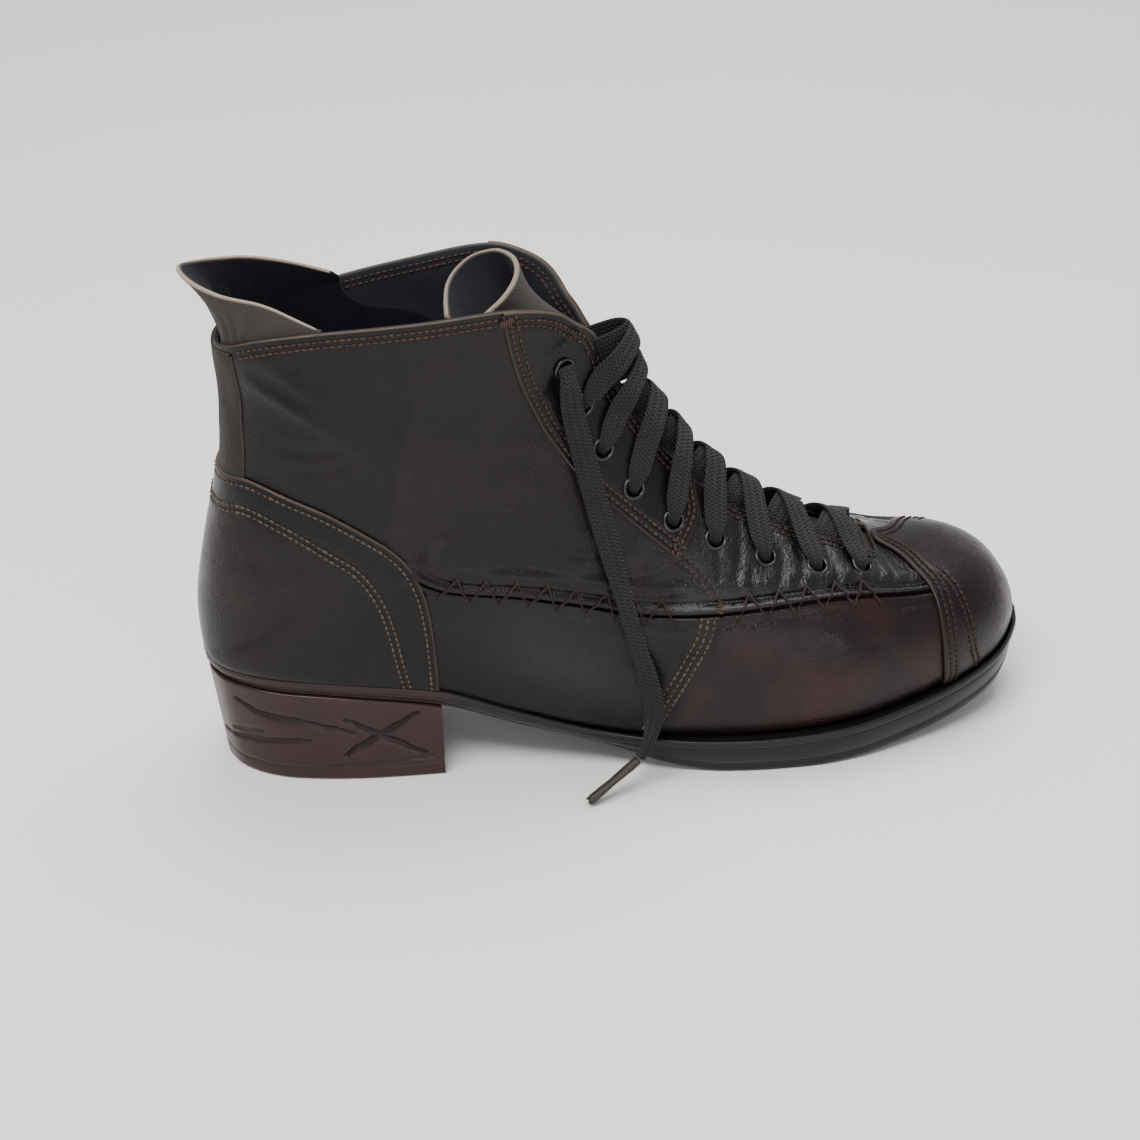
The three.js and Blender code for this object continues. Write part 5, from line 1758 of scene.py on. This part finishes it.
def makeTab():
    width = 120
    shares = np.linspace(-1, 1, width)
    stations = np.linspace(tab["start"], 21.0, 30)
    under = -(boot["wall"] + 3 * boot["clearance"] + tab["thickness"] / 2)
    side = np.where(shares < 0, lateral, medial)
    rowsHere = []
    for s in stations:
        seam = float(sectionAt(s)["seam"])
        spread = np.where(shares > 0, 0.86 + 0.32 * (1 - smooth((s - 18) / 3)), 0.78)
        up = np.abs(shares) * spread * seam
        start = np.interp(up, [0, 0.45, 0.885], [17, 17, 12])
        true = np.where(s > start,
                        start + (toplineAt(up, side) - start) * (s - start) / (lastStation - start),
                        s)
        rowsHere.append(onForm(true, up, side, np.full(width, under)))
    top = rowsHere[-1]
    rimLine = curveThrough(inFrame(tab["rim"]), width)
    for lift in np.linspace(0, 1, 34)[1:]:
        flare = np.stack([np.full(width, lift**2), np.full(width, lift), np.full(width, lift)], -1)
        bent = top * (1 - flare) + rimLine * flare
        gather = math.sin(min(lift * 1.5, 1) * math.pi) * 0.55
        wave = np.sin(shares * 46 + 1.3 * np.sin(shares * 17)) * (np.abs(shares) < 0.62)
        outward = unit(bent - [45, 0, 185])
        rowsHere.append(bent + outward * (gather * wave)[:, None])
    grid = np.array(rowsHere)
    for _ in range(3):
        grid[27:33] = (grid[26:32] + grid[27:33] * 2 + grid[28:34]) / 4
    grid += (0.3 * valueNoise(grid, 12.0, 111))[..., None] * np.array([0.5, 0.5, 0.4])
    piece = bentSheet("collarTab", grid, tab["thickness"], suede, (-1, 0, 0), rimRaw=1.0)
    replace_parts(piece, "back_tab")


makeTab()


print("laces")


# The direction of the foot's length on the form, which a lace's width keeps to.
def alongForm(station, up, side):
    step = 0.3
    return unit(formPoint(station - step, up, side) - formPoint(station + step, up, side))


def formCurve(stops, count):
    return curveThrough([onForm(*stop) for stop in stops], count)


strap = {"width": 9.0, "mouth": 0.52, "arch": 3.6, "above": 1.9,
         "proud": [3.4, 2.8, 1.2, 0.6, 0.2, 0.0, 0.0, -0.4]}


# One lace from its eyelet over its own flap and the ridge, and under the flap across.
def laceStrap(k, side, over):
    fromStation, fromUp = eyelets[k + 1]
    toStation = min(eyelets[k][0], 13.0)
    added = boot["overlay"] if fromStation >= boot["facingStart"] else 0.0
    edge = float(throatShare(fromStation))
    rnd = np.random.default_rng(200 + 2 * k + (side > 0))
    loose = 1.0 + 0.3 * (rnd.random() - 0.5)
    high = (strap["arch"] + strap["proud"][k]) * loose + (strap["above"] if over else 0.0)
    reach = toStation - fromStation
    stops = [  # share of the way to the next eyelet, up, side, height over the form
        (-0.02, fromUp - 0.004, side, added - 3.6),
        (0.00, fromUp + 0.001, side, added - 0.9),
        (0.02, fromUp + 0.010, side, added + 0.75),
        (0.08, fromUp + 0.035, side, added + 1.55),
        (0.17, (fromUp + edge) / 2 + 0.02, side, added + 2.0 * loose),
        (0.28, edge + 0.012, side, 1.0 + added + 0.45 * high),
        (0.38, 0.955, side, high * 0.92),
        (0.48, 1.0, side, high),
        (0.58, 0.962, -side, high * 0.72),
        (0.68, 0.928, -side, 0.9),
        (0.78, 0.890, -side, -2.5),
        (0.86, 0.862, -side, -3.3),
    ]
    middle = formCurve([(fromStation + share * reach, *rest) for share, *rest in stops], 72)
    for _ in range(3):
        middle[6:-6] = (middle[5:-7] + middle[6:-6] * 2 + middle[7:-5]) / 4
    share = np.linspace(0, 1, len(middle))
    start = alongForm(fromStation, min(fromUp, 0.9), side)
    top = alongForm(fromStation + 0.48 * reach, 0.99, side)
    aside = unit(start * (1 - smooth(share / 0.5))[:, None] + top * smooth(share / 0.5)[:, None])
    run = unit(np.gradient(middle, axis=0))
    aside = unit(aside - run * np.sum(aside * run, -1, keepdims=True))
    twist = 0.30 * (rnd.random() - 0.5) * 2 * np.sin(share * math.pi)
    lift = unit(np.cross(aside, run))
    aside = aside * np.cos(twist)[:, None] + lift * np.sin(twist)[:, None]
    mouth = 1 - strap["mouth"] * hump(share, 0.06, 0.085)
    widths = strap["width"] * mouth * (1 + 0.03 * np.sin(share * 9 + k))
    thickness = lace["thickness"] * (1 + 0.5 * hump(share, 0.05, 0.08))
    return ribbon(middle, aside, widths, thickness, startAlong=17.0 * k)


def makeLaces():
    parts = []
    for k in range(len(eyelets) - 1):
        for side in (lateral, medial):
            parts.append(laceStrap(k, side, side == lateral))
    # the bar between the lowest pair, under both flaps
    station, up = eyelets[-1]
    stops = [(station, up, lateral, 0.3), (station - 0.02, up + 0.03, lateral, -2.6),
             (station - 0.03, 0.94, lateral, -2.2),
             (station - 0.03, 1.0, lateral, -1.6), (station - 0.03, 0.94, medial, -2.2),
             (station - 0.02, up + 0.03, medial, -2.6),
             (station, up, medial, 0.3)]
    middle = formCurve(stops, 60)
    parts.append(ribbon(middle, np.tile([1.0, 0, 0.2], (60, 1)), lace["width"], lace["thickness"]))
    # behind the top pair of eyelets: to the loose end's root, and the end that stops in the medial
    # one
    for side in (lateral, medial):
        station, up = eyelets[0]
        stops = [(station - 1.6, 0.862, side, -3.3), (station - 0.8, 0.82, side, -3.3),
                 (station - 0.2, up + 0.01, side, -2.6),
                 (station, up, side, -0.6)]
        middle = formCurve(stops, 36)
        normal = formNormal(station, up, side)
        aside = np.tile(unit(np.cross(normal, [0.0, 0, 1.0])), (36, 1))
        share = np.linspace(0, 1, 36)
        parts.append(ribbon(middle, aside, lace["width"] * (0.9 - 0.3 * smooth(share)),
                            lace["thickness"] * 1.1))
    points, faces, uv = joined(parts)
    piece = makePiece("crossedLaces", points, faces, laceCloth, across=uv)
    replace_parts(piece, *[f"lace_cross_{k}" for k in range(1, len(eyelets))])


makeLaces()


print("stitches and eyelets")


# Instances of a small shape on the vertices of a mesh, turned by their "run" and "out" directions.
def nodesOnPoints(name, shapeOf, material, inputs):
    tree = bpy.data.node_groups.new(name, "GeometryNodeTree")
    tree.interface.new_socket("Geometry", in_out="INPUT", socket_type="NodeSocketGeometry")
    for label, value in inputs.items():
        socket = tree.interface.new_socket(label, in_out="INPUT", socket_type="NodeSocketFloat")
        socket.default_value = value
    tree.interface.new_socket("Geometry", in_out="OUTPUT", socket_type="NodeSocketGeometry")
    given, out = tree.nodes.new("NodeGroupInput"), tree.nodes.new("NodeGroupOutput")
    shape = shapeOf(tree, given)
    place = tree.nodes.new("GeometryNodeInstanceOnPoints")
    link(tree, given.outputs["Geometry"], place.inputs["Points"])
    link(tree, shape, place.inputs["Instance"])

    def named(label):
        node = tree.nodes.new("GeometryNodeInputNamedAttribute")
        node.data_type = "FLOAT_VECTOR"
        node.inputs["Name"].default_value = label
        return node.outputs["Attribute"]

    first = tree.nodes.new("FunctionNodeAlignRotationToVector")
    first.axis = "Z"
    link(tree, named("out"), first.inputs["Vector"])
    second = tree.nodes.new("FunctionNodeAlignRotationToVector")
    second.axis = "X"
    second.pivot_axis = "Z"
    link(tree, first.outputs[0], second.inputs["Rotation"])
    link(tree, named("run"), second.inputs["Vector"])
    link(tree, second.outputs[0], place.inputs["Rotation"])
    link(tree, named("size"), place.inputs["Scale"])
    real = tree.nodes.new("GeometryNodeRealizeInstances")
    link(tree, place.outputs[0], real.inputs[0])
    soft = tree.nodes.new("GeometryNodeSetShadeSmooth")
    link(tree, real.outputs[0], soft.inputs[0])
    paint = tree.nodes.new("GeometryNodeSetMaterial")
    paint.inputs["Material"].default_value = material
    link(tree, soft.outputs[0], paint.inputs[0])
    link(tree, paint.outputs[0], out.inputs[0])
    return tree


def placeOnPoints(name, tree, places, outs, runs, sizes, slotName, values):
    mesh = bpy.data.meshes.new(name + "Points")
    mesh.from_pydata(toFrame(places).tolist(), [], [])
    for label, data in (("out", outs), ("run", runs), ("size", sizes)):
        vectors = mesh.attributes.new(label, "FLOAT_VECTOR", "POINT")
        vectors.data.foreach_set("vector", np.asarray(data, np.float32).ravel())
    holder = addObject(name + "Points", mesh)
    modifier = holder.modifiers.new("repeat", "NODES")
    modifier.node_group = tree
    for item in tree.interface.items_tree:
        if item.in_out == "INPUT" and item.name in values:
            modifier[item.identifier] = values[item.name]
    bpy.context.view_layer.update()
    evaluated = holder.evaluated_get(bpy.context.evaluated_depsgraph_get())
    made = bpy.data.meshes.new_from_object(evaluated)
    made.name = name
    bpy.data.objects.remove(holder)
    return rootPiece(name, made)


def stitchShape(tree, given):
    ball = tree.nodes.new("GeometryNodeMeshUVSphere")
    setInputs(ball, {"Segments": 8, "Rings": 5})
    link(tree, given.outputs["Radius"], ball.inputs["Radius"])
    return ball.outputs[0]


stitch = {"pitch": 2.35, "length": 1.95, "thread": 0.88, "flat": 0.85, "lift": 0.32, "uneven": 0.12}
threadBall = {"Radius": 0.5 * mm}
# The layer that each row of stitches lies on.
rowLayers = {
    "topline": "skin", "flapTop": "facing", "facingRear": "facing", "tail": "skin", "cross": "skin",
    "counter": "counter", "counterInner": "counter", "cap": "cap", "facingFront": "facing",
    "throatTop": "facing", "throatFront": "skin",
}
paleRows, redRows = ("counter", "counterInner", "cross"), ("cap", "throatTop", "throatFront")
brownRows = [name for name in rowLayers if name not in paleRows + redRows]


def stitchesAlong(place, outward, lift):
    run = runOf(place)
    count = max(int(run[-1] / stitch["pitch"]), 1)
    middles = (np.arange(count) + 0.5) / count * run[-1]
    uneven = 1 + stitch["uneven"] * np.random.default_rng(count).standard_normal(count)

    def along(values, at):
        return np.stack([np.interp(at, run, column) for column in values.T], -1)

    where, out = along(place, middles), unit(along(outward, middles))
    direction = unit(along(place, middles + 0.3) - where + 1e-6)
    size = np.array([stitch["length"], stitch["thread"],
                     stitch["thread"] * stitch["flat"]]) * uneven[:, None]
    return where + out * lift, out, direction, size


def stacked(groups):
    return [np.vstack(parts) for parts in zip(*groups)]


def outerStitches(names):
    groups = []
    for side in (lateral, medial):
        for name in (name for name in rowLayers if name in names):
            for s, u in stitchPlaces[name, side]:
                sides = np.full(len(s), side)
                place, outward = formPoint(s, u, sides), formNormal(s, u, sides)
                height = layerHeight(rowLayers[name], place, s, u, sides) - stitchDent["depth"]
                groups.append(stitchesAlong(place + outward * height[:, None], outward,
                                            stitch["lift"]))
    return stacked(groups)


# The topline's rows come through on the lining.
def liningStitches():
    groups = []
    for name in ("topline", "flapTop"):
        for side in (lateral, medial):
            for s, u in stitchPlaces[name, side]:
                sides = np.full(len(s), side)
                place, inward = formPoint(s, u, sides), -formNormal(s, u, sides)
                depth = boot["wall"] - folds(place, s, u, sides) * 0.8
                groups.append(stitchesAlong(place + inward * depth[:, None], inward, 0.1))
    return stacked(groups)


def placeStitches(name, stuff, groups, slotName):
    tree = nodesOnPoints(name + "Row", stitchShape, stuff, threadBall)
    placeOnPoints(name, tree, *groups, slotName, threadBall)


placeStitches("counterStitches", paleThread, outerStitches(paleRows), "upper_leather")
placeStitches("capStitches", redThread, outerStitches(redRows), "upper_leather")
placeStitches("seamStitches", thread, outerStitches(brownRows), "upper_leather")
placeStitches("liningStitches", thread, liningStitches(), "lining")


# Short bars of close stitches where rows meet: [station, up, layer]
barTacks = [[19.6, 0.575, "facing"], [6.95, 0.628, "skin"]]
tack = {"count": 5, "apart": 0.0055, "size": [3.4, 0.9, 0.8], "lift": 0.15}


def makeBarTacks():
    groups = []
    steps = np.arange(tack["count"]) - (tack["count"] - 1) / 2
    for side in (lateral, medial):
        for station, up, layer in barTacks:
            s, u, sides = np.full(len(steps),
                                  station), up + steps * tack["apart"], np.full(len(steps), side)
            place, outward = formPoint(s, u, sides), formNormal(s, u, sides)
            run = unit(formPoint(s + 0.1, u, sides) - place)
            lift = layerHeight(layer, place, s, u, sides) + tack["lift"]
            groups.append((place + outward * lift[:, None], outward, run,
                           np.tile(tack["size"], (len(steps), 1))))
    placeStitches("barTacks", thread, stacked(groups), "upper_leather")


makeBarTacks()


def eyeletShape(tree, given):
    circle = tree.nodes.new("GeometryNodeCurvePrimitiveCircle")
    circle.inputs["Resolution"].default_value = 36
    link(tree, given.outputs["Ring Radius"], circle.inputs["Radius"])
    wire = tree.nodes.new("GeometryNodeCurvePrimitiveCircle")
    wire.inputs["Resolution"].default_value = 12
    link(tree, given.outputs["Wire Radius"], wire.inputs["Radius"])
    sweep = tree.nodes.new("GeometryNodeCurveToMesh")
    link(tree, circle.outputs["Curve"], sweep.inputs["Curve"])
    link(tree, wire.outputs["Curve"], sweep.inputs["Profile Curve"])
    flat = tree.nodes.new("GeometryNodeTransform")
    flat.inputs["Scale"].default_value = (1, 1, 0.75)
    link(tree, sweep.outputs[0], flat.inputs["Geometry"])
    barrel = tree.nodes.new("GeometryNodeMeshCylinder")
    barrel.fill_type = "NONE"
    barrel.inputs["Vertices"].default_value = 36
    link(tree, given.outputs["Bore Radius"], barrel.inputs["Radius"])
    link(tree, given.outputs["Depth"], barrel.inputs["Depth"])
    sink = tree.nodes.new("GeometryNodeTransform")
    shift = tree.nodes.new("ShaderNodeCombineXYZ")
    half = tree.nodes.new("ShaderNodeMath")
    half.operation = "MULTIPLY"
    half.inputs[1].default_value = -0.5
    link(tree, given.outputs["Depth"], half.inputs[0])
    link(tree, half.outputs[0], shift.inputs["Z"])
    link(tree, shift.outputs[0], sink.inputs["Translation"])
    link(tree, barrel.outputs[0], sink.inputs["Geometry"])
    join = tree.nodes.new("GeometryNodeJoinGeometry")
    link(tree, flat.outputs[0], join.inputs[0])
    link(tree, sink.outputs[0], join.inputs[0])
    return join.outputs[0]


def makeEyelets():
    values = {"Ring Radius": eyeletSize["ring"] * mm, "Wire Radius": eyeletSize["wire"] * mm,
              "Bore Radius": eyeletSize["bore"] * mm, "Depth": eyeletSize["depth"] * mm}
    tree = nodesOnPoints("eyeletRings", eyeletShape, darkMetal, values)
    places = np.array([place + normal * 0.35 for place, normal, *_ in seats])
    outs = np.array([normal for _, normal, *_ in seats])
    runs = np.tile([1.0, 0, 0], (len(seats), 1))
    sizes = np.ones((len(seats), 3))
    piece = placeOnPoints("laceEyelets", tree, places, outs, runs, sizes, "eyelet_metal", values)
    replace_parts(piece, *[f"eyelet_{side}_{k}" for side in ("lateral", "medial")
                         for k in range(1, 10)])


makeEyelets()


def tube(middle, radius, sides=8):
    run = unit(np.gradient(middle, axis=0))
    hint = np.array([0.3, 0.2, 1.0])
    a = unit(np.cross(run, hint))
    b = np.cross(run, a)
    angle = np.arange(sides) / sides * math.tau
    radius = np.broadcast_to(radius, len(middle))
    ring = (middle[:, None] + a[:, None] * (np.cos(angle)[None, :, None] * radius[:, None, None])
            + b[:, None] * (np.sin(angle)[None, :, None] * radius[:, None, None]))
    return ring.reshape(-1, 3), tubeFaces(len(middle), sides), np.zeros((len(middle) * sides, 2))


# Heavy zigzag thread over the side seam: places along it in millimetres of the shoe's length.
zigzag = {
    "rear": (80.0, 164.0, 8),
    "front": (186.0, 240.0, 5),
    "up": 6.2,
    "down": 3.6,
    "thread": 0.52,
}


def makeZigzag():
    parts = []
    for side in (lateral, medial):
        s = np.linspace(12.2, 3.2, 400)
        u = sectionAt(s)["seam"]
        x = formPoint(s, u, side)[:, 0]
        for start, end, count in (zigzag["rear"], zigzag["front"]):
            at = np.linspace(start, end, 2 * count + 1)
            corners = []
            for k, here in enumerate(at):
                i = int(np.argmin(np.abs(x - here)))
                lift = zigzag["up"] if k % 2 else -zigzag["down"]
                lo, hi = max(i - 2, 0), min(i + 3, len(s))
                bs, bu = besideLine((s[lo:hi], u[lo:hi]), side, lift, (9.0, 1.0))
                corners.append((bs[len(bs) // 2], bu[len(bu) // 2]))
            for a, b in zip(corners[:-1], corners[1:]):
                t = np.linspace(-0.04, 1.04, 18)
                ss, uu = a[0] + (b[0] - a[0]) * t, a[1] + (b[1] - a[1]) * t
                sides = np.full(len(t), side)
                place = formPoint(ss, uu, sides)
                outward = formNormal(ss, uu, sides)
                h = skinRelief(place, ss, uu, sides)
                taut = np.maximum(h, np.interp(t, [t[0], t[-1]], [h[0], h[-1]]))
                ends = smooth(np.minimum(t - t[0], t[-1] - t) / 0.12)
                parts.append(tube(place + outward * (taut - 0.5 + 0.85 * ends)[:, None],
                                  zigzag["thread"]))
    points, faces, _ = joined(parts)
    makePiece("zigzagThread", points, faces, heavyThread)


makeZigzag()


print("floor and light")
room = {"floor": 6.0, "floorColour": (0.81, 0.805, 0.785), "world": 0.64}


def makeRoom():
    size = room["floor"] / 2
    mesh = bpy.data.meshes.new("floor")
    mesh.from_pydata([(-size, -size, 0), (size, -size, 0), (size, size, 0), (-size, size, 0)], [],
                     [(0, 1, 2, 3)])
    floor = addObject("floor", mesh)
    material, tree, shader = newMaterial("paleFloor")
    place = placeOf(tree)
    base = mixColour(tree, noiseAt(tree, place, 3.0, 4.0),
                     tuple(v * 0.94 for v in room["floorColour"]), room["floorColour"])
    link(tree, base, shader.inputs["Base Color"])
    shader.inputs["Roughness"].default_value = 0.75
    link(tree, bump(tree, noiseAt(tree, place, 40.0, 4.0), 0.0004, 0.2), shader.inputs["Normal"])
    mesh.materials.append(material)
    world = bpy.data.worlds.new("softRoom")
    world.use_nodes = True
    world.node_tree.nodes["Background"].inputs[0].default_value = (0.93, 0.95, 1.0, 1)
    world.node_tree.nodes["Background"].inputs[1].default_value = room["world"]
    bpy.context.scene.world = world
    lamps = {  # place, size in metres, watts, colour
        "window": ((-0.3, -0.6, 1.35), (0.9, 0.5), 24.0, (1.0, 0.985, 0.96)),
        "ceiling": ((0.35, 0.55, 1.7), (1.2, 0.8), 27.0, (1.0, 0.98, 0.96)),
        "front": ((0.3, -1.7, 0.42), (1.4, 0.5), 6.5, (0.97, 0.98, 1.0)),
    }
    for name, (where, size, watts, colour) in lamps.items():
        data = bpy.data.lights.new(name, "AREA")
        data.shape = "RECTANGLE"
        data.size, data.size_y = size
        data.energy = watts
        data.color = colour
        lamp = addObject(name, data)
        lamp.location = where
        lamp.rotation_euler = (Vector((0.1, 0, 0.06)) - Vector(where)).to_track_quat("-Z",
                                                                                     "Y").to_euler()


makeRoom()
